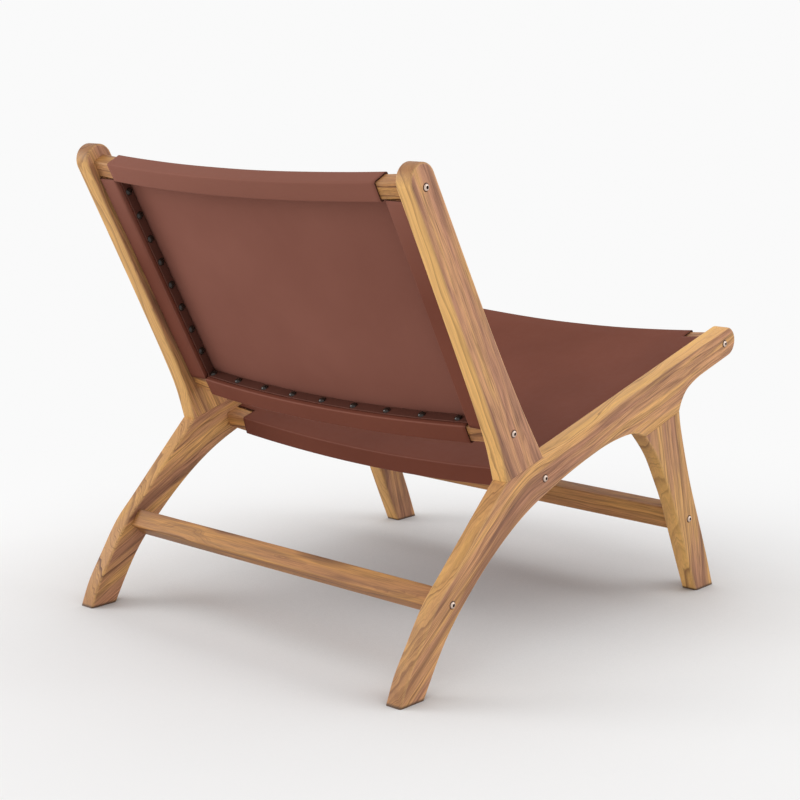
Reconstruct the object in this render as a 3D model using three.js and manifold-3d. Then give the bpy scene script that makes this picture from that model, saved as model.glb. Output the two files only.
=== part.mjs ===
// Sling lounge chair: two bolted plank side frames, two wrapped seat and back frames, two stretchers.
// Millimetres, +Z up. The chair faces -Y and its origin lies on the floor under the middle of its box.
import * as THREE from "three";
import { mergeVertices } from "three/addons/utils/BufferGeometryUtils.js";
import Module from "manifold-3d";

const wasm = await Module();
wasm.setup();

// Overall sizes
const chairWidth = 642;
const plankThickness = 26;
const edgeRadius = 3;
const footprintLength = 724.5;
const rearFootLength = 46.5;
const frontFootLength = 47;

// Side rail: its top edge is one straight line that rises from the post's heel to the nose
const railPitch = THREE.MathUtils.degToRad(15.3);
const heelReach = 209.5;
const heelHeight = 255.5;
const noseRun = 545.5;
const railDepth = 44;
const bossStart = 310;
const bossLength = 92;
const bossDepth = 74;
const flareLength = 78;

// Back post, measured along and across the back
const backLean = THREE.MathUtils.degToRad(27.9);
const lowerBoltReach = 222.4;
const lowerBoltHeight = 319.3;
const backSpan = 376;
const postHeadRise = 9;
const postWidth = 46;
const postJointLength = 82;
const postOffset = 0.4;

// Seat frame, measured along the side rail's top edge and down from it
const seatRearRun = 77;
const seatRearDepth = 30;
const seatSpan = 460.5;
const seatFrontDepth = 21.5;

// Stretchers
const rearStretcherHeight = 114;
const frontStretcherHeight = 119;
const stretcherNarrow = 27.5;
const stretcherWide = 33;
const stretcherEdgeRadius = 2.5;
const rearStretcherTilt = THREE.MathUtils.degToRad(142);
const frontStretcherTilt = THREE.MathUtils.degToRad(101);
const rearStretcherShare = 0.52;
const frontStretcherShare = 0.52;

// Wrapped frames: wood inside, one leather sheet round it
const backRailFace = 25;
const backRailDepth = 22.5;
const backBow = 20.5;
const backSag = 4;
const seatRailFace = 24;
const seatRailDepth = 24;
const seatBow = 17;
const seatSag = 8;
const railEdgeRadius = 3;
const stileWidth = 28;
const stileSideGap = 2.3;
const bareEndLength = 38.5;
const leatherThickness = 2;
const leatherCornerRadius = 3;
const flapLength = 6;
const tackStripThickness = 2.8;

// Fasteners
const boltHeadRadius = 6.4;
const boltHeadHeight = 3.4;
const boltShankRadius = 3;
const socketRadius = 2.5;
const socketDepth = 2;
const counterboreDepth = 1.2;
const insertRadius = 5;
const insertLength = 18;
const boreSpareLength = 2;
const dowelRadius = 4;
const dowelLength = 40;

// Clearances
const jointGap = 0.3;
const boltClearance = 0.4;
const stripClearance = 0.6;
const overrun = 10;

// Shares of the sizes that they follow: along the curve, then across it
const backEdgeShares = [
  [0, 0], [0.074, 0.139], [0.187, 0.283], [0.335, 0.46], [0.5, 0.595], [0.74, 0.79], [1, 1],
];
const archShares = [
  [0, 0], [0.0985, 0.282], [0.2456, 0.547], [0.411, 0.755],
  [0.591, 0.894], [0.7677, 0.993], [0.875, 1.028], [0.95, 1.03], [1, 1],
];
const legRearShares = [[0, 1], [0.226, 0.863], [0.406, 0.7], [0.55, 0.553], [0.817, 0.2214], [1, 0]];
const legFrontShares = [[1, 0], [0.81, 0.184], [0.62, 0.352], [0.32, 0.615], [0.075, 0.883], [0, 1]];
const flareShares = [[0, 1], [0.1, 0.66], [0.21, 0.41], [0.34, 0.22], [0.53, 0.09], [0.77, 0.012], [1, 0]];
const postHeelFlareShares = [[0, 1], [0.115, 0.49], [0.245, 0.3], [0.47, 0.165], [0.757, 0.06], [1, 0]];
const postToeFlareShares = [[0, 1], [0.19, 0.53], [0.42, 0.2], [0.715, 0.067], [1, 0]];
const dowelShares = [0.3, 0.7];

// Numbers of steps along the curves
const splineSteps = 3;
const arcSteps = 10;
const bevelSteps = 2;
const cornerSteps = 3;
const bowSteps = 14;
const panelSteps = 6;
const boreSides = 14;

// Places that follow from the sizes
const innerHalf = chairWidth / 2 - plankThickness;
const railAxis = new THREE.Vector2(Math.cos(railPitch), Math.sin(railPitch));
const depthAxis = new THREE.Vector2(Math.sin(railPitch), -Math.cos(railPitch));
const backUp = new THREE.Vector2(-Math.sin(backLean), Math.cos(backLean));
const backRear = new THREE.Vector2(-Math.cos(backLean), -Math.sin(backLean));
const heel = new THREE.Vector2(heelReach, heelHeight);
const lowerBolt = new THREE.Vector2(lowerBoltReach, lowerBoltHeight);
const bossEnd = bossStart + bossLength;
const noseRadius = railDepth / 2;
const leatherReach = jointGap + leatherThickness;
const leatherHalf = innerHalf - bareEndLength;
const stileOuter = innerHalf - stileSideGap - leatherReach;
const stileInner = stileOuter - stileWidth;
const stileMiddle = (stileOuter + stileInner) / 2;

// Side-view helpers: a point is (reach forward from the rear heel, height over the floor)
function onRail(run, depth) {
  return heel.clone().addScaledVector(railAxis, run).addScaledVector(depthAxis, depth);
}

function onBack(up, rear) {
  return lowerBolt.clone().addScaledVector(backUp, up).addScaledVector(backRear, rear);
}

function throughPoints(points) {
  return new THREE.SplineCurve(points).getPoints((points.length - 1) * splineSteps);
}

function arcPoints(centre, radius, startAngle, endAngle, steps) {
  const arc = new THREE.EllipseCurve(centre.x, centre.y, radius, radius, startAngle, endAngle);
  return arc.getPoints(steps);
}

function shareCurve(origin, width, height, shares) {
  const size = new THREE.Vector2(width, height);
  const points = shares.map(([across, up]) => new THREE.Vector2(across, up).multiply(size).add(origin));
  return throughPoints(points);
}

// The curves of the side frame's outline
function archCurve() {
  const toe = new THREE.Vector2(rearFootLength, 0);
  const end = onRail(bossStart, bossDepth);
  return shareCurve(toe, end.x - toe.x, end.y, archShares);
}

function legRearCurve() {
  const top = onRail(bossStart, bossDepth);
  const foot = footprintLength - frontFootLength;
  return shareCurve(new THREE.Vector2(top.x, 0), foot - top.x, top.y, legRearShares);
}

function legFrontCurve() {
  const top = onRail(bossEnd, bossDepth);
  return shareCurve(new THREE.Vector2(top.x, 0), footprintLength - top.x, top.y, legFrontShares);
}

function flareCurve() {
  const points = flareShares.map(([along, drop]) =>
    onRail(bossEnd + flareLength * along, railDepth + (bossDepth - railDepth) * drop));
  return throughPoints(points);
}

function noseCurve() {
  const centre = onRail(noseRun, noseRadius);
  return arcPoints(centre, noseRadius, railPitch - Math.PI / 2, railPitch + Math.PI / 2, arcSteps);
}

// A post edge is straight at the head and flares out towards the joint with the rail
function postEdge(jointPoint, side, shares) {
  const headUp = backSpan + postHeadRise;
  const straightRear = postOffset + side * postWidth / 2;
  const fromBolt = jointPoint.clone().sub(lowerBolt);
  const jointUp = fromBolt.dot(backUp);
  const flare = fromBolt.dot(backRear) - straightRear;
  return throughPoints(shares.map(([along, out]) =>
    onBack(jointUp + (headUp - jointUp) * along, straightRear + flare * out)));
}

function postCap() {
  const centre = onBack(backSpan + postHeadRise, postOffset);
  return arcPoints(centre, postWidth / 2, backLean, backLean + Math.PI, arcSteps);
}

function backEdgeCurve() {
  return shareCurve(new THREE.Vector2(0, 0), heel.x, heel.y, backEdgeShares);
}

// One closed outline for post, rail and both legs, so that its round-over runs on across the joints.
// The feet run on below the floor and are sawn off flat there.
function sideOutline() {
  const below = (point) => new THREE.Vector2(point.x, -overrun);
  const arch = archCurve();
  const legRear = legRearCurve();
  const legFront = legFrontCurve();
  const back = backEdgeCurve().reverse();
  const pieces = [
    [below(back[back.length - 1]), below(arch[0])],
    arch,
    legRear.slice(1),
    [below(legRear[legRear.length - 1]), below(legFront[0])],
    legFront,
    flareCurve().slice(1),
    noseCurve(),
    postEdge(onRail(postJointLength, 0), -1, postToeFlareShares),
    postCap().slice(1, -1),
    postEdge(heel, 1, postHeelFlareShares).reverse(),
    back.slice(1),
  ];
  return pieces.flat();
}

// Solid helpers
function toManifold(geometry) {
  const bare = geometry.index ? geometry.toNonIndexed() : geometry.clone();
  bare.deleteAttribute("normal");
  bare.deleteAttribute("uv");
  const merged = mergeVertices(bare);
  return new wasm.Manifold(new wasm.Mesh({
    numProp: 3,
    vertProperties: new Float32Array(merged.attributes.position.array),
    triVerts: new Uint32Array(merged.index.array),
  }));
}

function toGeometry(manifold) {
  const mesh = manifold.getMesh();
  const geometry = new THREE.BufferGeometry();
  geometry.setAttribute("position", new THREE.BufferAttribute(new Float32Array(mesh.vertProperties), 3));
  geometry.setIndex(new THREE.BufferAttribute(new Uint32Array(mesh.triVerts), 1));
  const flat = geometry.toNonIndexed();
  flat.computeVertexNormals();
  return flat;
}

function boxBetween(low, high) {
  const size = high.clone().sub(low);
  const geometry = new THREE.BoxGeometry(size.x, size.y, size.z);
  const middle = low.clone().add(high).multiplyScalar(0.5);
  return geometry.translate(middle.x, middle.y, middle.z);
}

// A cylinder between two places along Z, in side-view coordinates
function boreAlongZ(point, radius, zStart, zEnd) {
  const geometry = new THREE.CylinderGeometry(radius, radius, Math.abs(zEnd - zStart), boreSides);
  geometry.rotateX(Math.PI / 2);
  return toManifold(geometry.translate(point.x, point.y, (zStart + zEnd) / 2));
}

// An outline extruded to a thickness, its middle at zero, with both rims rounded over
function roundedPlank(outline, thickness, radius) {
  const geometry = new THREE.ExtrudeGeometry(new THREE.Shape(outline), {
    depth: thickness - 2 * radius,
    bevelEnabled: true,
    bevelThickness: radius,
    bevelSize: radius,
    bevelOffset: -radius,
    bevelSegments: bevelSteps,
  });
  return geometry.translate(0, 0, radius - thickness / 2);
}

// A block in the side view that follows the rail: from run to run, from depth to depth
function railBlock(runStart, runEnd, depthStart, depthEnd) {
  const corners = [[runStart, depthEnd], [runEnd, depthEnd], [runEnd, depthStart], [runStart, depthStart]];
  const shape = new THREE.Shape(corners.map(([run, depth]) => onRail(run, depth)));
  const thickness = plankThickness + 2 * overrun;
  const geometry = new THREE.ExtrudeGeometry(shape, { depth: thickness, bevelEnabled: false });
  return toManifold(geometry.translate(0, 0, -thickness / 2));
}

// Places of the bolts in the side view
function reachAt(curve, height) {
  const index = curve.findIndex((point, i) => i > 0 && (curve[i - 1].y - height) * (point.y - height) <= 0);
  const [low, high] = [curve[index - 1], curve[index]];
  return low.x + (high.x - low.x) * (height - low.y) / (high.y - low.y);
}

function betweenEdges(rearCurve, frontCurve, height, share) {
  const rear = reachAt(rearCurve, height);
  const front = reachAt(frontCurve, height);
  return new THREE.Vector2(rear + (front - rear) * share, height);
}

const seatRear = onRail(seatRearRun, seatRearDepth);
const seatFrontRun = seatRearRun + Math.sqrt(seatSpan ** 2 - (seatRearDepth - seatFrontDepth) ** 2);
const seatFront = onRail(seatFrontRun, seatFrontDepth);
const rearStretcherPlace = betweenEdges(
  backEdgeCurve(), archCurve(), rearStretcherHeight, rearStretcherShare);
const frontStretcherPlace = betweenEdges(
  legRearCurve(), legFrontCurve(), frontStretcherHeight, frontStretcherShare);
const boltPlaces = {
  back_top: onBack(backSpan, 0),
  back_bottom: lowerBolt,
  seat_rear: seatRear,
  seat_front: seatFront,
  rear_stretcher: rearStretcherPlace,
  front_stretcher: frontStretcherPlace,
};
const boltsInPost = ["back_top", "back_bottom"];
const boltsInRail = ["seat_rear", "seat_front", "rear_stretcher"];
const boltsInLeg = ["front_stretcher"];

// A dowel lies square to its joint line, half in each piece, in the middle of the plank
function dowelPlace(run, depth) {
  return { start: onRail(run, depth - dowelLength / 2), end: onRail(run, depth + dowelLength / 2) };
}

const postDowels = dowelShares.map((share) => dowelPlace(postJointLength * share, 0));
const legDowels = dowelShares.map((share) => dowelPlace(bossStart + bossLength * share, bossDepth));

function dowelGeometry({ start, end }, radius, spare) {
  const geometry = new THREE.CylinderGeometry(radius, radius, start.distanceTo(end) + 2 * spare, boreSides);
  geometry.rotateZ(end.clone().sub(start).angle() - Math.PI / 2);
  return geometry.translate((start.x + end.x) / 2, (start.y + end.y) / 2, 0);
}

// Cuts the bolt holes of one piece: a shank hole right through and a shallow seat for the head.
// The outer face of the plank is on the side that outward gives, +1 or -1 along Z.
function cutBoltHoles(solid, names, outward) {
  const face = plankThickness / 2;
  return names.reduce((left, name) => {
    const point = boltPlaces[name];
    const shank = boreAlongZ(point, boltShankRadius + boltClearance, -face - overrun, face + overrun);
    const seat = boreAlongZ(point, boltHeadRadius + boltClearance,
      outward * (face - counterboreDepth), outward * (face + overrun));
    return left.subtract(shank).subtract(seat);
  }, solid);
}

function cutDowelHoles(solid, dowels) {
  return dowels.reduce((left, dowel) =>
    left.subtract(toManifold(dowelGeometry(dowel, dowelRadius + jointGap, jointGap))), solid);
}

// The three pieces of one side frame, cut from the rounded outline along their glue lines
function sideFramePieces(outward) {
  const whole = toManifold(roundedPlank(sideOutline(), plankThickness, edgeRadius));
  const floor = toManifold(boxBetween(
    new THREE.Vector3(-overrun, -2 * overrun, -plankThickness),
    new THREE.Vector3(footprintLength + overrun, 0, plankThickness)));
  const standing = whole.subtract(floor);
  const postHeight = backSpan + postHeadRise + postWidth + lowerBoltHeight;
  const postRegion = [-heelReach, postJointLength + jointGap];
  const above = railBlock(...postRegion, -postHeight, -jointGap);
  const aboveLine = railBlock(...postRegion, -postHeight, 0);
  const legRegion = [bossStart - bossDepth, footprintLength];
  const below = railBlock(...legRegion, bossDepth + jointGap, footprintLength);
  const belowLine = railBlock(...legRegion, bossDepth, footprintLength);
  const post = cutDowelHoles(standing.intersect(above), postDowels);
  const leg = cutDowelHoles(standing.intersect(below), legDowels);
  const rail = cutDowelHoles(standing.subtract(aboveLine).subtract(belowLine), [...postDowels, ...legDowels]);
  return {
    back_post: cutBoltHoles(post, boltsInPost, outward),
    side_rail: cutBoltHoles(rail, boltsInRail, outward),
    front_leg: cutBoltHoles(leg, boltsInLeg, outward),
  };
}

// Fasteners, drawn along +X with the underside of the head at zero and the shank towards -X
const shankLength = plankThickness - counterboreDepth + jointGap + insertLength;

function boltGeometry() {
  const domeSteps = 3;
  const rimHeight = boltHeadHeight / domeSteps;
  const profile = [new THREE.Vector2(0, -shankLength), new THREE.Vector2(boltShankRadius, -shankLength)];
  profile.push(new THREE.Vector2(boltShankRadius, 0), new THREE.Vector2(boltHeadRadius, 0));
  for (let i = 0; i <= domeSteps; i += 1) {
    const angle = (Math.PI / 3) * (i / domeSteps);
    const height = rimHeight + (boltHeadHeight - rimHeight) * Math.sin(angle) / Math.sin(Math.PI / 3);
    const radius = boltHeadRadius * Math.cos(angle);
    profile.push(new THREE.Vector2(radius, height));
  }
  profile.push(new THREE.Vector2(0, boltHeadHeight));
  const body = toManifold(new THREE.LatheGeometry(profile, boreSides));
  const socket = new THREE.CylinderGeometry(socketRadius, socketRadius, 2 * socketDepth, 6);
  socket.translate(0, boltHeadHeight, 0);
  return toGeometry(body.subtract(toManifold(socket))).rotateZ(-Math.PI / 2);
}

function insertGeometry() {
  const outer = insertRadius;
  const inner = boltShankRadius + jointGap;
  const corners = [[inner, 0], [outer, 0], [outer, insertLength], [inner, insertLength], [inner, 0]];
  const profile = corners.map(([radius, along]) => new THREE.Vector2(radius, along));
  return new THREE.LatheGeometry(profile, boreSides).rotateZ(-Math.PI / 2);
}

// The bore in a rail's end that holds the insert, at local place (y, z), at the end that side gives
function insertBore(y, z, side) {
  const radius = insertRadius + jointGap;
  const length = insertLength + boreSpareLength;
  const geometry = new THREE.CylinderGeometry(radius, radius, length + overrun, boreSides);
  geometry.rotateZ(Math.PI / 2);
  return toManifold(geometry.translate(side * (innerHalf - (length - overrun) / 2), y, z));
}

function cutBothEnds(solid, y, z) {
  return solid.subtract(insertBore(y, z, 1)).subtract(insertBore(y, z, -1));
}

function trimToInside(solid, reach) {
  const half = innerHalf - jointGap;
  const block = boxBetween(new THREE.Vector3(-half, -reach, -reach), new THREE.Vector3(half, reach, reach));
  return solid.intersect(toManifold(block));
}

// Wrapped frames. Local axes: x across the chair, y from the first rail to the second, z to the open side.
// The leather panel lies on the -z face, and both rails bow towards +z in the middle.
function bowAt(x, bow) {
  return bow * (1 - (x / innerHalf) ** 2);
}

function stations(half, count) {
  return Array.from({ length: count + 1 }, (_, i) => half * (2 * i / count - 1));
}

// A rail curved to the bow, its edges rounded and its ends sawn square
function bowedRail(face, depth, bow) {
  const end = innerHalf + overrun;
  const places = [-end, ...stations(leatherHalf, bowSteps), end];
  const front = places.map((x) => new THREE.Vector2(x, bowAt(x, bow) - depth / 2));
  const rear = places.map((x) => new THREE.Vector2(x, bowAt(x, bow) + depth / 2)).reverse();
  const geometry = roundedPlank([...front, ...rear], face, railEdgeRadius).rotateX(Math.PI / 2);
  return cutBothEnds(trimToInside(toManifold(geometry), chairWidth), 0, 0);
}

// A closed skin over rings of equal length that lie one after another
function loft(rings, capContour) {
  const count = rings[0].length;
  const triangles = [];
  for (let i = 0; i + 1 < rings.length; i += 1) {
    for (let j = 0; j < count; j += 1) {
      const [a, b] = [rings[i][j], rings[i][(j + 1) % count]];
      const [c, d] = [rings[i + 1][j], rings[i + 1][(j + 1) % count]];
      triangles.push([a, b, d], [a, d, c]);
    }
  }
  const last = rings[rings.length - 1];
  const clockwise = THREE.ShapeUtils.isClockWise(capContour);
  THREE.ShapeUtils.triangulateShape(capContour, []).forEach((corners) => {
    const [i, j, k] = clockwise ? corners.reverse() : corners;
    triangles.push([rings[0][k], rings[0][j], rings[0][i]], [last[i], last[j], last[k]]);
  });
  const volume = triangles.reduce((sum, [a, b, c]) => sum + a.dot(b.clone().cross(c)), 0);
  const outward = triangles.map(([a, b, c]) => (volume > 0 ? [a, b, c] : [a, c, b]));
  return new THREE.BufferGeometry().setFromPoints(outward.flat());
}

// Replaces the corners of an open path by arcs
function roundedPath(corners, radius) {
  const path = [corners[0]];
  for (let i = 1; i + 1 < corners.length; i += 1) {
    const before = corners[i - 1].clone().sub(corners[i]).normalize();
    const after = corners[i + 1].clone().sub(corners[i]).normalize();
    const centre = corners[i].clone().addScaledVector(before, radius).addScaledVector(after, radius);
    for (let k = 0; k <= cornerSteps; k += 1) {
      const angle = (Math.PI / 2) * (k / cornerSteps);
      path.push(centre.clone()
        .addScaledVector(after, -radius * Math.cos(angle))
        .addScaledVector(before, -radius * Math.sin(angle)));
    }
  }
  path.push(corners[corners.length - 1]);
  return path;
}

// The sheet's section, as (y, z) pairs: rear flap, round the second rail, down the panel, round the first.
// Between the rails the panel has points of its own, so that it can sag.
function sheetSection({ span, face, depth }) {
  const side = (offset, radius) => {
    const h = face / 2 + offset;
    const d = depth / 2 + offset;
    const flapEnd = depth / 2 + jointGap - flapLength;
    const second = [
      new THREE.Vector2(span - h, flapEnd), new THREE.Vector2(span - h, d), new THREE.Vector2(span + h, d),
      new THREE.Vector2(span + h, -d), new THREE.Vector2(span - face / 2, -d),
    ];
    const first = second.map((point) => new THREE.Vector2(span - point.x, point.y)).reverse();
    const [start, end] = [second[second.length - 1], first[0]];
    const steps = Array.from({ length: panelSteps - 1 }, (_, k) => (k + 1) / panelSteps);
    const between = steps.map((share) => start.clone().lerp(end, share));
    return [...roundedPath(second, radius), ...between, ...roundedPath(first, radius)];
  };
  const outer = side(leatherReach, leatherCornerRadius);
  const inner = side(jointGap, leatherCornerRadius - leatherThickness);
  return [...outer, ...inner.reverse()];
}

// How far the panel hangs in at a place between the rails, nothing at its edges
function sagAt(x, { x: y, y: z }, { span, face, depth, sag }) {
  const share = THREE.MathUtils.clamp((y - face / 2) / (span - face), 0, 1);
  const acrossShare = 1 - (x / leatherHalf) ** 2;
  return z < -depth / 2 ? sag * 4 * share * (1 - share) * acrossShare : 0;
}

function slingLeather(frame) {
  const section = sheetSection(frame);
  const rings = stations(leatherHalf, bowSteps).map((x) => section.map((point) =>
    new THREE.Vector3(x, point.x, point.y + bowAt(x, frame.bow) + sagAt(x, point, frame))));
  return toManifold(loft(rings, section)).add(stileWrap(frame, 1)).add(stileWrap(frame, -1));
}

// A stile's section, as (x, z) pairs, grown by an offset: its front follows the bow, its rear is flat.
// It starts at the front, as far inward as asked, and ends on the inner face.
function stileSection({ depth, bow }, offset, startX, endZ, radius) {
  const rear = bowAt(stileMiddle, bow) + depth / 2 + offset;
  const bends = [leatherHalf, (leatherHalf + stileOuter) / 2].filter((x) => x > startX);
  const front = [startX, ...bends].map((x) => new THREE.Vector2(x, bowAt(x, bow) - depth / 2 - offset));
  const corners = [
    front[front.length - 1],
    new THREE.Vector2(stileOuter + offset, bowAt(stileOuter, bow) - depth / 2 - offset),
    new THREE.Vector2(stileOuter + offset, rear), new THREE.Vector2(stileInner - offset, rear),
    new THREE.Vector2(stileInner - offset, endZ),
  ];
  return [...front.slice(0, -1), ...roundedPath(corners, radius)];
}

// The side flap of the sheet: over the stile's front, round its outer side and its rear, onto its inner face
function stileWrap(frame, side) {
  const { depth, bow } = frame;
  const start = leatherHalf - 2 * leatherHalf / bowSteps;
  const flapEnd = bowAt(stileMiddle, bow) + depth / 2 + jointGap - flapLength;
  const outer = stileSection(frame, leatherReach, start, flapEnd, leatherCornerRadius);
  const inner = stileSection(frame, jointGap, start, flapEnd, leatherCornerRadius - leatherThickness);
  return betweenRails(frame, [...outer, ...inner.reverse()], side);
}

// A straight piece of the given (x, z) section that fills the space from rail to rail
function betweenRails({ span, face }, contour, side) {
  const ends = [face / 2 + jointGap, span - face / 2 - jointGap];
  const rings = ends.map((y) => contour.map((point) => new THREE.Vector3(side * point.x, y, point.y)));
  return toManifold(loft(rings, contour));
}

function stileSolid(frame, side) {
  const { depth, bow } = frame;
  const frontInner = bowAt(stileInner, bow) - depth / 2;
  const contour = stileSection(frame, 0, stileInner, frontInner, leatherCornerRadius - leatherThickness);
  return betweenRails(frame, contour.slice(0, -1), side);
}

// Binding strips that the tacks go through, on the inner faces of rails and stiles
function railStrip({ face, depth, bow }, centreY, towards) {
  const half = leatherHalf - leatherThickness;
  const rearZ = depth / 2 - flapLength;
  const frontZ = stripClearance - depth / 2;
  const nearY = centreY + towards * (face / 2 + jointGap);
  const farY = nearY + towards * tackStripThickness;
  const contour = [
    new THREE.Vector2(nearY, rearZ), new THREE.Vector2(farY, rearZ),
    new THREE.Vector2(farY, frontZ), new THREE.Vector2(nearY, frontZ),
  ];
  const rings = stations(half, bowSteps).map((x) =>
    contour.map((point) => new THREE.Vector3(x, point.x, point.y + bowAt(x, bow))));
  return loft(rings, contour);
}

function stileStrip({ span, face, depth, bow }, side) {
  const outerX = stileInner - jointGap;
  const rearZ = depth / 2 - flapLength + bowAt(stileMiddle, bow);
  const frontZ = stripClearance - depth / 2 + bowAt(outerX - tackStripThickness, bow);
  const end = face / 2 + leatherReach + jointGap;
  const half = tackStripThickness / 2;
  const low = new THREE.Vector3(-half, end, frontZ);
  const high = new THREE.Vector3(half, span - end, rearZ);
  return boxBetween(low, high).translate(side * (outerX - half), 0, 0);
}

// Materials
const finishes = {
  teak: { color: 0xb98355, roughness: 0.5, metalness: 0 },
  leather: { color: 0x7a4a3e, roughness: 0.5, metalness: 0 },
  beech: { color: 0xd0ab7c, roughness: 0.7, metalness: 0 },
  steel: { color: 0xc9c9c9, roughness: 0.3, metalness: 1 },
  brass: { color: 0xb8964a, roughness: 0.4, metalness: 1 },
};

function makeMesh(name, geometry, finish) {
  const mesh = new THREE.Mesh(geometry, new THREE.MeshStandardMaterial(finishes[finish]));
  mesh.name = name;
  return mesh;
}

function orientedGroup(xAxis, yAxis, zAxis, origin) {
  const group = new THREE.Group();
  group.quaternion.setFromRotationMatrix(new THREE.Matrix4().makeBasis(xAxis, yAxis, zAxis));
  group.position.copy(origin);
  return group;
}

// The box in plan runs from the rear heel to the tip of the nose
const chairDepth = onRail(noseRun, noseRadius).x + noseRadius;

function toWorld(point) {
  return new THREE.Vector3(0, chairDepth / 2 - point.x, point.y);
}

function directionInWorld(vector) {
  return new THREE.Vector3(0, -vector.x, vector.y).normalize();
}

const chair = new THREE.Group();

// Side frames: the outline's X is reach, its Y is height, and its Z points to the chair's left
function addSideFrame(sideName, outward) {
  const group = orientedGroup(
    new THREE.Vector3(0, -1, 0), new THREE.Vector3(0, 0, 1), new THREE.Vector3(-1, 0, 0),
    new THREE.Vector3(-outward * (innerHalf + plankThickness / 2), chairDepth / 2, 0));
  Object.entries(sideFramePieces(outward)).forEach(([name, solid]) => {
    group.add(makeMesh(`${name}_${sideName}`, toGeometry(solid), "teak"));
  });
  const dowelSets = { post_dowel: postDowels, leg_dowel: legDowels };
  Object.entries(dowelSets).forEach(([name, dowels]) => dowels.forEach((dowel, i) => {
    const place = i === 0 ? "rear" : "front";
    group.add(makeMesh(`${name}_${place}_${sideName}`, dowelGeometry(dowel, dowelRadius, 0), "beech"));
  }));
  chair.add(group);
}

// One bolt and its threaded insert, on the side that the sign gives
function addBolt(place, sideName, side) {
  const point = toWorld(boltPlaces[place]);
  const facing = side > 0 ? 0 : Math.PI;
  const bolt = makeMesh(`bolt_${place}_${sideName}`, boltGeometry(), "steel");
  bolt.position.copy(point).setX(side * (chairWidth / 2 - counterboreDepth + jointGap));
  bolt.rotation.set(0, 0, facing);
  const insert = makeMesh(`insert_${place}_${sideName}`, insertGeometry(), "brass");
  insert.position.copy(point).setX(side * (innerHalf - jointGap - insertLength));
  insert.rotation.set(0, 0, facing);
  chair.add(bolt, insert);
}

// A stretcher of rounded section, turned to the angle that its leg has
function stretcherGeometry(width, height) {
  const half = new THREE.Vector2(width / 2, height / 2);
  const outline = [
    new THREE.Vector2(-half.x, -half.y), new THREE.Vector2(half.x, -half.y),
    new THREE.Vector2(half.x, half.y), new THREE.Vector2(-half.x, half.y),
  ];
  const ring = roundedPath([outline[3].clone().lerp(outline[0], 0.5), ...outline,
    outline[3].clone().lerp(outline[0], 0.5)], stretcherEdgeRadius).slice(1);
  const length = 2 * (innerHalf - jointGap);
  const geometry = new THREE.ExtrudeGeometry(new THREE.Shape(ring), { depth: length, bevelEnabled: false });
  return geometry.translate(0, 0, -length / 2).rotateY(Math.PI / 2);
}

function addStretcher(name, place, tilt) {
  const along = new THREE.Vector2(Math.cos(tilt), Math.sin(tilt));
  const yAxis = directionInWorld(along);
  const xAxis = new THREE.Vector3(1, 0, 0);
  const group = orientedGroup(xAxis, yAxis, xAxis.clone().cross(yAxis), toWorld(place));
  const solid = toManifold(stretcherGeometry(stretcherNarrow, stretcherWide));
  group.add(makeMesh(name, toGeometry(cutBothEnds(solid, 0, 0)), "teak"));
  chair.add(group);
}

function addWrappedFrame(prefix, names, frame, group) {
  const first = toGeometry(bowedRail(frame.face, frame.depth, frame.bow));
  const second = first.clone().translate(0, frame.span, 0);
  group.add(makeMesh(`${prefix}_${names.first}_rail`, first, "teak"));
  group.add(makeMesh(`${prefix}_${names.second}_rail`, second, "teak"));
  group.add(makeMesh(`${prefix}_leather`, toGeometry(slingLeather(frame)), "leather"));
  group.add(makeMesh(`${prefix}_tack_strip_${names.first}`, railStrip(frame, 0, 1), "leather"));
  group.add(makeMesh(`${prefix}_tack_strip_${names.second}`, railStrip(frame, frame.span, -1), "leather"));
  Object.entries(names.sides).forEach(([sideName, side]) => {
    group.add(makeMesh(`${prefix}_stile_${sideName}`, toGeometry(stileSolid(frame, side)), "teak"));
    group.add(makeMesh(`${prefix}_tack_strip_${sideName}`, stileStrip(frame, side), "leather"));
  });
  chair.add(group);
}

const sides = { left: 1, right: -1 };
Object.entries(sides).forEach(([sideName, outward]) => addSideFrame(sideName, outward));
Object.keys(boltPlaces).forEach((place) => {
  addBolt(place, "left", -1);
  addBolt(place, "right", 1);
});
addStretcher("rear_stretcher", rearStretcherPlace, rearStretcherTilt);
addStretcher("front_stretcher", frontStretcherPlace, frontStretcherTilt);

// Back frame: x runs to the chair's left so that y can point up and z to the rear
const leftward = new THREE.Vector3(-1, 0, 0);
const rightward = new THREE.Vector3(1, 0, 0);
const upBack = directionInWorld(backUp);
const backGroup = orientedGroup(leftward, upBack, leftward.clone().cross(upBack), toWorld(lowerBolt));
addWrappedFrame("back", { first: "bottom", second: "top", sides: { left: 1, right: -1 } },
  { span: backSpan, face: backRailFace, depth: backRailDepth, bow: backBow, sag: backSag }, backGroup);

// Seat frame: y runs forward and up the seat, z down
const alongSeat = directionInWorld(seatFront.clone().sub(seatRear));
const seatGroup = orientedGroup(rightward, alongSeat, rightward.clone().cross(alongSeat), toWorld(seatRear));
addWrappedFrame("seat", { first: "rear", second: "front", sides: { left: -1, right: 1 } },
  { span: seatSpan, face: seatRailFace, depth: seatRailDepth, bow: seatBow, sag: seatSag }, seatGroup);

export default chair;
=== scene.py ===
# %% [markdown]
# # A sling lounge chair in teak and leather
# The real chair is two teak side frames, each cut from thick boards, with a wrapped back frame and a
# wrapped seat frame bolted between them, and two stretchers that hold the legs apart. This notebook dresses
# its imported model: the joinery is drawn again as smooth surfaces, the leather as sheets, and every finish is
# made from nodes. All lengths are in metres. The chair faces -Y and stands on the floor at Z = 0.

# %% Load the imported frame
import bpy
import numpy as np
from mathutils import Matrix, Vector
from mathutils.geometry import tessellate_polygon


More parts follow.
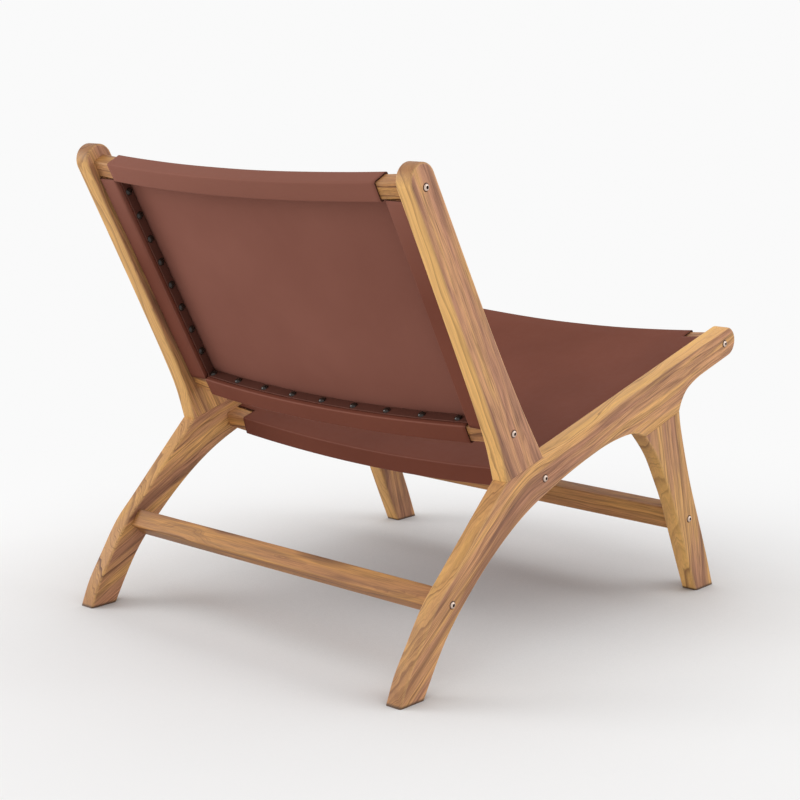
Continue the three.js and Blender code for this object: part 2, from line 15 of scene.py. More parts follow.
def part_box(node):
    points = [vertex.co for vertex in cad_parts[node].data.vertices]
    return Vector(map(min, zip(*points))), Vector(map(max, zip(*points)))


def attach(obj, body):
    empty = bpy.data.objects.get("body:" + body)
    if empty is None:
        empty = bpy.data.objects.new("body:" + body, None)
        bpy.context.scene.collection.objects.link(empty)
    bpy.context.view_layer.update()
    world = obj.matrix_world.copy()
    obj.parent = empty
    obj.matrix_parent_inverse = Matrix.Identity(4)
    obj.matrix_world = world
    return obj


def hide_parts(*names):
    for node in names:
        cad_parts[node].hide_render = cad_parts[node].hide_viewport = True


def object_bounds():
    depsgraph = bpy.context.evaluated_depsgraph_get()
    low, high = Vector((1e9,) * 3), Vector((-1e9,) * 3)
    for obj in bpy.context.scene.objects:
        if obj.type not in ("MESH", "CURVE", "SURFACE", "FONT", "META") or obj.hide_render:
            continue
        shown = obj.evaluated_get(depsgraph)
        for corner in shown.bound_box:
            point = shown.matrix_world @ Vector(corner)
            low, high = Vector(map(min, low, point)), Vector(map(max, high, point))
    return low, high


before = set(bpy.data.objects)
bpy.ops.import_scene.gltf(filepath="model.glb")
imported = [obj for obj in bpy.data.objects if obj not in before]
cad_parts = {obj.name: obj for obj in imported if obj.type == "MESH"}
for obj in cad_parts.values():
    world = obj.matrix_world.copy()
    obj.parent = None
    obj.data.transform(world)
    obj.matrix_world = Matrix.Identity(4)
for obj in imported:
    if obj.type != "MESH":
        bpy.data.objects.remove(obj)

cad_low, cad_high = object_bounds()
print("nodes:", len(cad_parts), "CAD box:", [round(c, 4) for c in (*cad_low, *cad_high)])

# %% [markdown]
# ## The sizes of the chair
# A scene can't read the chair's drawing, so the sizes that set its shape are repeated here. Everything is
# placed in the side view first: a point there is its reach forward from the rear heel and its height.
# The rail's line rises to the nose, and the back's line leans to the rear.

# %% Sizes of the side view
chair_width, chair_depth = 0.642, float(cad_high.y - cad_low.y)
plank_thickness, edge_radius, joint_gap = 0.026, 0.003, 0.0003
footprint_length, rear_foot_length, front_foot_length = 0.7245, 0.0465, 0.047
rail_pitch, nose_run, rail_depth = np.radians(15.3), 0.5455, 0.044
boss_start, boss_length, boss_depth, flare_length = 0.31, 0.092, 0.074, 0.078
back_lean, back_span, post_head_rise = np.radians(27.9), 0.376, 0.009
post_width, post_joint_length, post_offset = 0.046, 0.082, 0.0004
seat_rear_run, seat_rear_depth, seat_span, seat_front_depth = 0.077, 0.03, 0.4605, 0.0215
inner_half = chair_width / 2 - plank_thickness

heel = np.array([0.2095, 0.2555])
lower_bolt = np.array([0.2224, 0.3193])
rail_axis = np.array([np.cos(rail_pitch), np.sin(rail_pitch)])
depth_axis = np.array([np.sin(rail_pitch), -np.cos(rail_pitch)])
back_up = np.array([-np.sin(back_lean), np.cos(back_lean)])
back_rear = np.array([-np.cos(back_lean), -np.sin(back_lean)])


def on_rail(run, depth):
    """The rail's line carries run along its axis and depth square to it, from the post's heel."""
    return heel + np.multiply.outer(run, rail_axis) + np.multiply.outer(depth, depth_axis)


def on_back(up, rear):
    """The back's line carries up along the lean and rear square to it, from the lower bolt."""
    return lower_bolt + np.multiply.outer(up, back_up) + np.multiply.outer(rear, back_rear)


def side_to_world(points, x):
    """Reach runs to -Y from the middle of the depth, height is Z, and x is given."""
    points = np.asarray(points, float)
    across = np.broadcast_to(x, points.shape[:-1])
    return np.stack([across, chair_depth / 2 - points[..., 0], points[..., 1]], -1)


print("nose at reach", np.round(on_rail(nose_run, 0.0), 4), "inner half width", inner_half)

# %% [markdown]
# ## From arrays to meshes
# Every new piece is a surface of two parameters: a grid of points worked out with numpy in one go. These
# helpers join such a grid's points into faces and put the result into a mesh, with an attribute where the
# finish needs one. A piece stays at the origin, because its place is in its points.

# %% Mesh helpers
SMOOTH_ANGLE = np.radians(38)


def grid_faces(rows, columns, closed_rows=False, closed_columns=False):
    """Quads between neighbouring rows and columns; a closed direction joins its last line to its first."""
    row, column = np.meshgrid(
        np.arange(rows if closed_rows else rows - 1),
        np.arange(columns if closed_columns else columns - 1), indexing="ij")
    row, column = row.ravel(), column.ravel()
    next_row, next_column = (row + 1) % rows, (column + 1) % columns
    corners = [(row, column), (row, next_column), (next_row, next_column), (next_row, column)]
    return np.stack([r * columns + c for r, c in corners], -1)


def make_piece(name, points, faces, material, slot, replaced=(), **attributes):
    """A mesh object at the origin that rides on the chair. Only edges beyond SMOOTH_ANGLE stay sharp."""
    mesh = bpy.data.meshes.new(name)
    points = np.asarray(points, float).reshape(-1, 3)
    mesh.from_pydata(points.tolist(), [], [list(map(int, f)) for f in faces])
    for label, values in attributes.items():
        layer = mesh.attributes.new(label, "FLOAT", "POINT")
        layer.data.foreach_set("value", np.asarray(values, np.float32).ravel())
    mesh.polygons.foreach_set("use_smooth", np.ones(len(mesh.polygons), bool))
    mesh.set_sharp_from_angle(angle=SMOOTH_ANGLE)
    mesh.materials.append(material)
    piece = bpy.data.objects.new(name, mesh)
    bpy.context.scene.collection.objects.link(piece)
    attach(piece, "root")
    if replaced:
        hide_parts(*replaced)
    return piece


def signed_volume(points, faces):
    """A sixth of the sum of the triple products of a shell's triangles: positive if they face out."""
    points = np.asarray(points, float).reshape(-1, 3)
    fans = [(f[0], f[i], f[i + 1]) for f in faces for i in range(1, len(f) - 1)]
    a, b, c = (points[np.array(fans)[:, k]] for k in range(3))
    return np.einsum("ij,ij->", a, np.cross(b, c)) / 6


def outward(points, faces):
    """The faces of a closed shell, turned to point outwards."""
    faces = [list(map(int, f)) for f in faces]
    return faces if signed_volume(points, faces) > 0 else [f[::-1] for f in faces]

# %% [markdown]
# ## Node helpers
# Finishes are built from nodes. A short helper adds a node and feeds its inputs, so that a finish reads as
# a recipe. A value that is the same all over a surface goes on the shader's own socket.

# %% Node helpers
def feed_all(tree, made, feeds):
    """Feeds a node's inputs: a socket is linked, a plain value is set."""
    for key, value in feeds.items():
        if isinstance(value, bpy.types.NodeSocket):
            tree.links.new(value, made.inputs[key])
        else:
            made.inputs[key].default_value = value


def node(tree, kind, feeds=None, **settings):
    """Adds a shader node, gives it its settings, and feeds its inputs."""
    made = tree.nodes.new("ShaderNode" + kind)
    for key, value in settings.items():
        setattr(made, key, value)
    feed_all(tree, made, feeds or {})
    return made


def math(tree, operation, first, second=0.0):
    """One step of arithmetic on two values."""
    return node(tree, "Math", {0: first, 1: second}, operation=operation).outputs[0]


def spread(tree, value, start, end, low=0.0, high=1.0, **settings):
    """Carries the range from start to end onto the range from low to high, and holds it there."""
    feeds = {"Value": value, "From Min": start, "From Max": end, "To Min": low, "To Max": high}
    return node(tree, "MapRange", feeds, **settings).outputs["Result"]


def noise(tree, place, scale, detail):
    """Cloudy noise from 0 to 1, with that many clouds to a metre."""
    return node(tree, "TexNoise", {"Vector": place, "Scale": scale, "Detail": detail}).outputs["Fac"]


def object_place(tree):
    """A place on the piece, which is its place in the chair because every piece lies at the origin."""
    return node(tree, "TexCoord").outputs["Object"]


def height_of(tree, place):
    """How high a place is above the floor."""
    return node(tree, "SeparateXYZ", {0: place}).outputs["Z"]


def attribute(tree, name):
    """A value that the piece's mesh carries."""
    return node(tree, "Attribute", attribute_name=name).outputs["Fac"]

# %% [markdown]
# ## Colour helpers
# A dyer mixes two colours, or lays one over another. Here a ramp turns a value into a colour, a mix goes from
# one colour to another, and a tint is laid over a colour by multiplying.

# %% Colour helpers
mix_first, mix_second, mix_result = 6, 7, 2


def ramp(tree, factor, stops, smooth=False):
    """A colour ramp with the given stops, each a place and a linear colour."""
    made = node(tree, "ValToRGB", {"Fac": factor})
    band = made.color_ramp
    band.interpolation = "EASE" if smooth else "LINEAR"
    while len(band.elements) < len(stops):
        band.elements.new(0.5)
    for element, (place, colour) in zip(band.elements, stops):
        element.position = place
        element.color = (*colour, 1.0)
    return made.outputs["Color"]


def grey(value):
    """A colour of three equal parts."""
    return (value, value, value)


def rgba(colour):
    """A plain colour with its alpha; a socket stays as it is."""
    return colour if isinstance(colour, bpy.types.NodeSocket) else (*colour, 1.0)


def mix_colours(tree, factor, first, second, blend="MIX"):
    """From the first colour to the second by the factor, or to what the blend makes of the two."""
    feeds = {"Factor": factor, mix_first: rgba(first), mix_second: rgba(second)}
    return node(tree, "Mix", feeds, data_type="RGBA", blend_type=blend).outputs[mix_result]


def tinted(tree, colour, tint, factor=1.0):
    """The colour times a tint."""
    return mix_colours(tree, factor, colour, tint, "MULTIPLY")

# %% [markdown]
# ## Material helpers
# A finish is one material. It starts as a shader alone, and relief too fine for the mesh, such as pores or
# pebbles, goes into its normal.

# %% Material helpers
def bumped(tree, height, strength, distance):
    """A normal that leans with the slope of a height."""
    feeds = {"Height": height, "Strength": strength, "Distance": distance}
    return node(tree, "Bump", feeds).outputs["Normal"]


def empty_material(name):
    """A node material with nothing in it yet."""
    material = bpy.data.materials.new(name)
    material.use_nodes = True
    material.node_tree.nodes.clear()
    return material, material.node_tree


def new_material(name):
    """A node material with its Principled shader wired to the output."""
    material, tree = empty_material(name)
    shader = node(tree, "BsdfPrincipled")
    node(tree, "OutputMaterial", {"Surface": shader.outputs["BSDF"]})
    return material, tree, shader

# %% [markdown]
# ## The camera
# The photograph looks at the chair from behind and its left, from a little above, with a long lens. The
# camera's place, direction and lens were solved from the chair's own straight edges. It is neither rolled nor
# shifted.

# %% Camera
camera_place = Vector((-1.7387, 1.95313, 0.8163))
camera_yaw, camera_drop = np.radians(42.064), np.radians(11.195)
focal_length, sensor_width = 80.06, 36.0
camera_data = bpy.data.cameras.new("photo_camera")
camera_data.lens = focal_length
camera_data.sensor_width = sensor_width
camera = bpy.data.objects.new("photo_camera", camera_data)
bpy.context.scene.collection.objects.link(camera)
level_share = np.cos(camera_drop)
looking_x, looking_y = np.sin(camera_yaw) * level_share, -np.cos(camera_yaw) * level_share
looking = Vector((looking_x, looking_y, -np.sin(camera_drop)))
camera.location = camera_place
camera.rotation_euler = looking.to_track_quat("-Z", "Y").to_euler()
bpy.context.scene.camera = camera
print("camera looks along", [round(c, 3) for c in looking])

# %% [markdown]
# ## Floor, background and light
# The chair stands in a pale studio without hard light, so nearly all the light comes evenly from all round,
# and the floor gives some of it back. The camera sees the floor darken where the chair keeps the light off,
# and further out it fades into the white behind, which only the camera and reflections see. So the background
# is white by its own tone, and the light stays at a level where a colour comes out about as it is written.

# %% World and floor
background_tone, floor_tone, floor_bounce, ambient_level = 0.955, 0.88, 0.78, 0.89
shade_reach, shade_depth = 0.4, 0.38
floor_radius, floor_sides, fade_start, fade_end = 9.0, 96, 0.75, 1.7
fade_middle = (-0.35, 0.4, 0.0)


def shown_ray(tree):
    """1 for rays from the camera, and for those that gloss or glass sends on."""
    path = node(tree, "LightPath")
    seen = math(tree, "MAXIMUM", path.outputs["Is Camera Ray"], path.outputs["Is Glossy Ray"])
    return math(tree, "MAXIMUM", seen, path.outputs["Is Transmission Ray"])


def make_world():
    """Even light from all round, and the background's own tone where it is shown."""
    world = bpy.data.worlds.new("studio")
    bpy.context.scene.world = world
    world.use_nodes = True
    tree = world.node_tree
    tree.nodes.clear()
    plain = node(tree, "Background", {"Color": rgba(grey(1.0)), "Strength": ambient_level})
    shown = node(tree, "Background", {"Color": rgba(grey(background_tone)), "Strength": 1.0})
    both = node(tree, "MixShader", {0: shown_ray(tree), 1: plain.outputs[0], 2: shown.outputs[0]})
    node(tree, "OutputWorld", {"Surface": both.outputs[0]})


def make_floor():
    """A flat disc. Its matt tone is darker where things near it hide the sky, and fades, with the distance
    from its middle, into the background's tone. To the light that it gives back it is one plain tone."""
    angles = np.linspace(0, 2 * np.pi, floor_sides, endpoint=False)
    rim = np.stack([np.cos(angles), np.sin(angles), np.zeros_like(angles)], -1) * floor_radius
    mesh = bpy.data.meshes.new("studio_floor")
    mesh.from_pydata(rim.tolist(), [], [list(range(len(rim)))])
    floor = bpy.data.objects.new("studio_floor", mesh)
    bpy.context.scene.collection.objects.link(floor)
    material, tree = empty_material("pale_floor")
    place = object_place(tree)
    distance = node(tree, "VectorMath", {0: place, 1: fade_middle}, operation="DISTANCE").outputs["Value"]
    fade = spread(tree, distance, fade_start, fade_end, interpolation_type="SMOOTHSTEP")
    openness = node(tree, "AmbientOcclusion", {"Distance": shade_reach}).outputs["AO"]
    shaded = mix_colours(tree, openness, grey(floor_tone * shade_depth), grey(floor_tone))
    tone = mix_colours(tree, shown_ray(tree), grey(floor_bounce), shaded)
    matt = node(tree, "BsdfDiffuse", {"Color": tone})
    white = node(tree, "Emission", {"Color": rgba(grey(background_tone)), "Strength": 1.0})
    share = math(tree, "MULTIPLY", fade, shown_ray(tree))
    both = node(tree, "MixShader", {0: share, 1: matt.outputs[0], 2: white.outputs[0]})
    node(tree, "OutputMaterial", {"Surface": both.outputs[0]})
    mesh.materials.append(material)


make_world()
make_floor()
bpy.context.scene.view_settings.view_transform = "Standard"
print("even light", ambient_level, "over a floor of radius", floor_radius)

# %% [markdown]
# ## Lamps
# The photograph shows no hard shadow, so each lamp is a large square, as a studio's soft box is. They only
# add a little to the even light: one from behind the chair on its right, a weaker one from its front left.

# %% Lamps
lamp_size, chair_middle = 1.6, (0.0, 0.0, 0.3)
lamps = {"rear_lamp": ((2.6, 1.9, 1.3), 38.0), "side_lamp": ((-2.5, -1.6, 1.9), 18.0)}


def add_lamp(name, place, power):
    """A square soft lamp at a place, turned to the chair's middle."""
    data = bpy.data.lights.new(name, "AREA")
    data.shape = "SQUARE"
    data.size = lamp_size
    data.energy = power
    lamp = bpy.data.objects.new(name, data)
    lamp.location = place
    lamp.rotation_euler = (Vector(chair_middle) - Vector(place)).to_track_quat("-Z", "Y").to_euler()
    bpy.context.scene.collection.objects.link(lamp)


for lamp_name, (place, power) in lamps.items():
    add_lamp(lamp_name, place, power)
print("lamps:", ", ".join(lamps))

# %% [markdown]
# ## Teak
# Oiled teak is golden brown, with fine dark lines where the yearly rings are cut and broad pinkish and purple
# brown bands. It could be painted on, but a board is cut out of a trunk, so the figure here is a trunk: rings
# round a pith, bent a little by slow noise. Each board reads the same trunk at its own place and turn, along
# its own grain, so no two look alike and the lines run on round its edges. A rear leg curves away from its
# board's grain, so there the trunk turns aside with it, part of the way, and the lines cross the leg aslant.

# %% The teak figure
GOLD, TAN, ROSE = (0.77, 0.415, 0.155), (0.66, 0.335, 0.16), (0.55, 0.265, 0.15)
UMBER, PLUM = (0.2, 0.08, 0.038), (0.26, 0.115, 0.067)
# Noises drawn out along the grain: how far their places are squeezed that way, and their scale.
sway_across, sway_through, drift = (0.3, 8.0), (0.22, 11.0), (0.15, 38.0)
blots, bands, pores, fibres = (0.07, 55.0), (0.07, 42.0), (0.02, 1300.0), (0.03, 380.0)
drawn_detail, across_sway, through_sway, drift_rings = 2.0, 0.026, 0.022, 3.0
ring_spacing, fine_rings, bend_radius = 0.0085, 3.7, 0.05
# Ramps: the dyes and strengths that a noise, or a place in a ring, turns into.
blot_colours = [(0.38, GOLD), (0.5, TAN), (0.62, ROSE)]
band_strength = [(0.52, grey(0.0)), (0.64, grey(0.68))]
late_wood = [(0.0, grey(0.5)), (0.1, grey(0.0)), (0.5, grey(0.15)), (0.92, grey(1.0)), (1.0, grey(0.5))]
broad_chances = [(0.2, grey(0.08)), (0.6, grey(0.35)), (0.85, grey(1.0))]
fine_chances = [(0.1, grey(0.05)), (0.9, grey(0.62))]
pore_shade = [(0.36, grey(0.62)), (0.5, grey(1.0))]
fibre_shade = [(0.32, grey(0.72)), (0.62, grey(1.04))]
smooth_wood, rough_wood, pore_height, fibre_height = 0.42, 0.6, 0.6, 0.4


def make_teak_figure():
    """A node group: rings are the distance from a wavy pith, in ring widths; each ring has a tone of its own
    and darkens to its outer edge; pores are noise drawn out along the grain. Past the bend's start the whole
    trunk turns aside on a hyperbola, up to the bend's slope."""
    tree = bpy.data.node_groups.new("teak_figure", "ShaderNodeTree")
    tree.interface.new_socket("Vector", in_out="INPUT", socket_type="NodeSocketVector")
    for label, kind in (("Color", "Color"), ("Roughness", "Float"), ("Height", "Float")):
        tree.interface.new_socket(label, in_out="OUTPUT", socket_type="NodeSocket" + kind)
    for label in ("Bend Start", "Bend Slope", "Banding", "Lines", "Pores"):
        tree.interface.new_socket(label, in_out="INPUT", socket_type="NodeSocketFloat")
    given = tree.nodes.new("NodeGroupInput").outputs
    result = tree.nodes.new("NodeGroupOutput")

    straight = node(tree, "SeparateXYZ", {0: given["Vector"]}).outputs
    past = math(tree, "MAXIMUM", math(tree, "SUBTRACT", given["Bend Start"], straight["X"]), 0.0)
    reach = math(tree, "SQRT", math(tree, "ADD", math(tree, "MULTIPLY", past, past), bend_radius ** 2))
    drop = math(tree, "MULTIPLY", math(tree, "SUBTRACT", reach, bend_radius), given["Bend Slope"])
    dropped = math(tree, "ADD", straight["Z"], drop)
    bent = node(tree, "CombineXYZ", {"X": straight["X"], "Y": straight["Y"], "Z": dropped}).outputs[0]

    def drawn_out(along, scale):
        """Noise on a place whose grain direction is squeezed, so that its blots are long and narrow."""
        place = node(tree, "VectorMath", {0: bent, 1: (along, 1.0, 1.0)}, operation="MULTIPLY")
        return noise(tree, place.outputs[0], scale, drawn_detail)

    def swayed(place, kind, size):
        """The place, moved by a noise of that size that is as often up as down."""
        sway = math(tree, "MULTIPLY", math(tree, "SUBTRACT", drawn_out(*kind), 0.5), size)
        return math(tree, "ADD", place, sway)

    def ring_line(rings, chances):
        """How dark a place in a ring is, by one ramp, times the ring's own chance, by another."""
        chance = node(tree, "TexWhiteNoise", {"W": math(tree, "FLOOR", rings)}, noise_dimensions="1D")
        own = ramp(tree, chance.outputs["Value"], chances)
        return math(tree, "MULTIPLY", ramp(tree, math(tree, "FRACT", rings), late_wood), own)

    parts = node(tree, "SeparateXYZ", {0: bent}).outputs
    across = swayed(parts["Y"], sway_across, across_sway)
    through_board = swayed(parts["Z"], sway_through, through_sway)
    squares = [math(tree, "MULTIPLY", side, side) for side in (across, through_board)]
    from_pith = math(tree, "SQRT", math(tree, "ADD", *squares))
    drifted = math(tree, "MULTIPLY", drawn_out(*drift), drift_rings)
    rings = math(tree, "ADD", math(tree, "DIVIDE", from_pith, ring_spacing), drifted)

    body = ramp(tree, drawn_out(*blots), blot_colours, smooth=True)
    body = mix_colours(tree, given["Banding"], GOLD, body)
    broad = ring_line(rings, broad_chances)
    fine = ring_line(math(tree, "MULTIPLY", rings, fine_rings), fine_chances)
    line = math(tree, "MULTIPLY", math(tree, "MAXIMUM", broad, fine), given["Lines"])
    lined = mix_colours(tree, line, body, UMBER)
    band = ramp(tree, drawn_out(*bands), band_strength, smooth=True)
    figured = mix_colours(tree, math(tree, "MULTIPLY", band, given["Banding"]), lined, PLUM)
    pore, fibre = drawn_out(*pores), drawn_out(*fibres)
    for grain, shade in ((pore, pore_shade), (fibre, fibre_shade)):
        figured = tinted(tree, figured, ramp(tree, grain, shade), given["Pores"])
    roughness = spread(tree, fibre, 0.0, 1.0, smooth_wood, rough_wood)
    height = math(tree, "ADD", math(tree, "MULTIPLY", pore, pore_height),
                  math(tree, "MULTIPLY", fibre, fibre_height))
    feed_all(tree, result, {"Color": figured, "Roughness": roughness, "Height": height})
    return tree


teak_figure = make_teak_figure()
print("the teak figure has", len(teak_figure.nodes), "nodes")

# %% [markdown]
# ## Teak for one board
# On top of the figure comes what a board's place does to it. Its narrow faces are plainer and more golden
# than its wide ones, and its rounded edges are worn a little pale; the mesh says by an attribute where they
# are. Sawn ends drink more oil and turn dark, which is found from the way that a face looks along the grain.
# The sole of a foot is painted nearly black: a painted contact shadow where it meets the floor.

# %% Teak for one board
NARROW_TINT, END_TINT = (1.13, 1.2, 1.03), (0.55, 0.48, 0.5)
# The sole's colour and share are a painted contact shadow where a foot meets the floor.
WORN_EDGE, SOLE_SHADOW = (0.72, 0.46, 0.235), (0.05, 0.03, 0.02)
narrow_calm, end_from, end_to, edge_wear, sole_shadow_share, sole_height = 0.7, 0.2, 0.9, 0.14, 0.85, 0.0045
teak_bump, teak_relief, teak_gloss = 0.18, 0.0004, 0.3
no_bend, no_tone = (0.0, 0.0), (1.0, 1.0, 1.0)


def grain_frame(direction):
    """A turn that brings a world direction onto X, and the board's thickness, if it lies across, onto Y."""
    along = Vector(direction).normalized()
    aside = Vector((1.0, 0.0, 0.0)) if abs(along.x) < 0.9 else Vector((0.0, 1.0, 0.0))
    third = along.cross(aside).normalized()
    return Matrix((along, third.cross(along), third))


def make_teak(name, direction, middle, pith, bend=no_bend, tone=no_tone, stands=False, plainness=0.85,
              lines=1.0):
    """Teak for one board: its grain runs in a direction, and its middle lay at that place from the pith.
    A bend is given by its start, along the grain from the middle, and its slope. A board that stands on
    the floor gets a painted contact shadow, nearly black, at its sole. Plainness calms its narrow faces, and
    lines sets how bold its rings are."""
    material, tree, shader = new_material(name)
    turn = grain_frame(direction)
    offset = Vector(pith) - turn @ Vector(middle)
    place, turned = object_place(tree), turn.to_euler()
    mapping = node(tree, "Mapping", {"Vector": place, "Location": offset, "Rotation": turned},
                   vector_type="POINT")
    figure = node(tree, "Group", node_tree=teak_figure)
    edge, narrow = attribute(tree, "edge"), attribute(tree, "narrow")
    calm = {label: math(tree, "SUBTRACT", 1.0, math(tree, "MULTIPLY", narrow, share))
            for label, share in (("Banding", plainness), ("Pores", narrow_calm))}
    feed_all(tree, figure, {"Vector": mapping.outputs[0], "Bend Start": pith[0] + bend[0],
                            "Bend Slope": bend[1], "Lines": lines, **calm})
    toned = tinted(tree, figure.outputs["Color"], tone)
    golden = mix_colours(tree, narrow, toned, tinted(tree, toned, NARROW_TINT))
    facing = node(tree, "Mapping", {"Vector": node(tree, "TexCoord").outputs["Normal"], "Rotation": turned},
                  vector_type="VECTOR")
    end_on = math(tree, "ABSOLUTE", node(tree, "SeparateXYZ", {0: facing.outputs[0]}).outputs["X"])
    ended = mix_colours(tree, spread(tree, end_on, end_from, end_to), golden, tinted(tree, toned, END_TINT))
    colour = mix_colours(tree, math(tree, "MULTIPLY", edge, edge_wear), ended, WORN_EDGE)
    # Painted contact shadow: nearly black within a few millimetres of the floor.
    if stands:
        at_sole = spread(tree, height_of(tree, place), sole_height, sole_height / 3)
        colour = mix_colours(tree, math(tree, "MULTIPLY", at_sole, sole_shadow_share), colour, SOLE_SHADOW)
    feed_all(tree, shader, {
        "Base Color": colour, "Roughness": figure.outputs["Roughness"], "Specular IOR Level": teak_gloss,
        "Normal": bumped(tree, figure.outputs["Height"], teak_bump, teak_relief)})
    return material

# %% [markdown]
# ## Leather
# The slings are smooth red-brown saddle leather. Up close its grain side has fine pebbles and faint cloudy
# dye, and it is stretched paler and polished where it folds over the wood; the pale line on a fold is partly
# that wear and partly a painted highlight. The top of the back is painted paler, as painted light that grows
# with the height. From behind one sees the other side of the hide, the flesh side, which is paler and matt,
# and the cut edges are dark. One recipe serves them all: the grain is small cells in the surface's height,
# and the folds are marked by an attribute that the sheets carry.

# %% The leather finish
HIDE, HIDE_DARK = (0.187, 0.06, 0.038), (0.162, 0.051, 0.032)
FLESH, FLESH_DARK = (0.242, 0.097, 0.071), (0.216, 0.084, 0.061)
BINDING, BINDING_DARK = (0.11, 0.04, 0.028), (0.085, 0.031, 0.022)
CUT, CUT_DARK = (0.09, 0.036, 0.026), (0.05, 0.02, 0.014)
HIDE_PALE = (0.33, 0.145, 0.108)
cloud_scale, cloud_detail, dye_from, dye_to = 7.0, 4.0, 0.3, 0.7
scuff_scale, scuff_detail, least_scuff = 84.0, 3.0, 0.4
pebble_scale, pebble_bump, pebble_height = 850.0, 0.3, 0.00012
crease_scale, crease_detail = 170.0, 3.0
dullness, scuff_dulls, fold_polishes = 0.56, 0.14, 0.08
top_light_low, top_light_high = 0.5, 0.64


def make_leather(name, dark, light, wear=0.35, gloss=0.05, top_light_share=0.0):
    """Slow noise for the dye, pebbled cells for the height, and a paler tone by the larger of two shares: the
    fold attribute, partly wear and partly a painted highlight, and the painted top light, which grows with the
    height."""
    material, tree, shader = new_material(name)
    place = object_place(tree)
    dye = ramp(tree, noise(tree, place, cloud_scale, cloud_detail), [(dye_from, dark), (dye_to, light)])
    fold = attribute(tree, "fold")
    scuff = noise(tree, place, scuff_scale, scuff_detail)
    # Paler folds: partly wear, partly a painted highlight on the crease.
    fold_wear_and_highlight = math(tree, "MULTIPLY", math(tree, "MULTIPLY", fold, wear), math(tree, "ADD", scuff, least_scuff))
    # Painted light: the leather turns paler higher up, as if more light fell on the top of the back.
    painted_top_light = spread(tree, height_of(tree, place), top_light_low, top_light_high, 0.0, top_light_share)
    cells = node(tree, "TexVoronoi", {"Vector": place, "Scale": pebble_scale}, feature="SMOOTH_F1")
    domes = math(tree, "MULTIPLY", cells.outputs["Distance"], -1.0)
    height = math(tree, "ADD", domes, noise(tree, place, crease_scale, crease_detail))
    duller = math(tree, "MULTIPLY", scuff, scuff_dulls)
    dull = math(tree, "SUBTRACT", duller, math(tree, "MULTIPLY", fold, fold_polishes))
    feed_all(tree, shader, {
        "Base Color": mix_colours(tree, math(tree, "MAXIMUM", fold_wear_and_highlight, painted_top_light), dye, HIDE_PALE),
        "Roughness": math(tree, "ADD", dull, dullness), "Specular IOR Level": gloss,
        "Normal": bumped(tree, height, pebble_bump, pebble_height)})
    return material


# The grain-side leather gets the painted top light at the top of the back.
leather = make_leather("red_brown_leather", HIDE_DARK, HIDE, wear=0.55, top_light_share=0.44)
flesh_side = make_leather("leather_flesh_side", FLESH_DARK, FLESH, wear=0.0, gloss=0.02)
strip_leather = make_leather("binding_leather", BINDING_DARK, BINDING, wear=0.5)
cut_edge = make_leather("leather_cut_edge", CUT_DARK, CUT)
print("leathers:", ", ".join(m.name for m in (leather, flesh_side, strip_leather, cut_edge)))

# %% [markdown]
# ## Metals, and the wood that nobody sees
# The screws are bright steel with faint turning marks, the tacks are lacquered black, and the inserts inside
# the rails are brass. The dowels lie inside the wood, so they simply borrow the teak's figure.

# %% Metal and dowel finishes
mark_scale, mark_detail, mark_bump, mark_height = 1200.0, 2.0, 0.05, 0.0001
# The socket colour is painted shadow, used for the screws' washers and sockets.
steel_colour, lacquer_colour, socket_shadow_colour = (0.68, 0.55, 0.47), (0.02, 0.013, 0.01), (0.07, 0.036, 0.022)
brass_colour = (0.55, 0.38, 0.14)


def make_metal(name, colour, roughness, metallic, specular=0.5):
    """A metal or lacquer whose gloss varies with a fine noise between two roughnesses."""
    material, tree, shader = new_material(name)
    marks = noise(tree, object_place(tree), mark_scale, mark_detail)
    feed_all(tree, shader, {
        "Base Color": rgba(colour), "Metallic": metallic, "Specular IOR Level": specular,
        "Roughness": spread(tree, marks, 0.0, 1.0, *roughness),
        "Normal": bumped(tree, marks, mark_bump, mark_height)})
    return material


steel = make_metal("bright_steel", steel_colour, (0.3, 0.44), 1.0)
black_lacquer = make_metal("black_lacquer", lacquer_colour, (0.17, 0.28), 0.0, specular=0.4)
socket_shadow = make_metal("socket_shadow", socket_shadow_colour, (0.5, 0.7), 0.0, specular=0.2)
brass = make_metal("brass", brass_colour, (0.28, 0.42), 1.0)
beech = make_teak("beech", (0.0, 1.0, 0.0), (0.0, 0.0, 0.0), (0.3, 0.1, 0.1))
print("metals:", ", ".join(m.name for m in (steel, black_lacquer, socket_shadow, brass)))

# %% [markdown]
# ## The side frames' outline
# Post, rail and legs of one side flow into each other, because the frame was shaped after it was glued. The
# outline is drawn through a few measured points, given as shares of the sizes they belong to, with curves
# that pass through every point and keep their direction there.

# %% Shares of the outline
back_edge_shares = [[0, 0], [0.074, 0.139], [0.187, 0.283], [0.335, 0.46], [0.5, 0.595], [0.74, 0.79], [1, 1]]
arch_shares = [[0, 0], [0.0985, 0.282], [0.2456, 0.547], [0.411, 0.755], [0.591, 0.894], [0.7677, 0.993],
               [0.875, 1.028], [0.95, 1.03], [1, 1]]
leg_rear_shares = [[0, 1], [0.226, 0.863], [0.406, 0.7], [0.55, 0.553], [0.817, 0.2214], [1, 0]]
leg_front_shares = [[1, 0], [0.81, 0.184], [0.62, 0.352], [0.32, 0.615], [0.075, 0.883], [0, 1]]
flare_shares = [[0, 1], [0.1, 0.66], [0.21, 0.41], [0.34, 0.22], [0.53, 0.09], [0.77, 0.012], [1, 0]]
heel_flare_shares = [[0, 1], [0.115, 0.49], [0.245, 0.3], [0.47, 0.165], [0.757, 0.06], [1, 0]]
toe_flare_shares = [[0, 1], [0.19, 0.53], [0.42, 0.2], [0.715, 0.067], [1, 0]]
print("the arch is drawn through", len(arch_shares), "points")

# %% [markdown]
# ## Smooth curves
# A chair maker can bend a thin strip of wood past a few nails and draw along it. The curve here does much the
# same: it goes through every point, and takes its direction there from the point's two neighbours. Round ends
# are parts of a circle, as a compass draws them.

# %% Curve helpers
spline_steps, arc_steps, straight_steps, under_steps = 9, 36, 24, 4


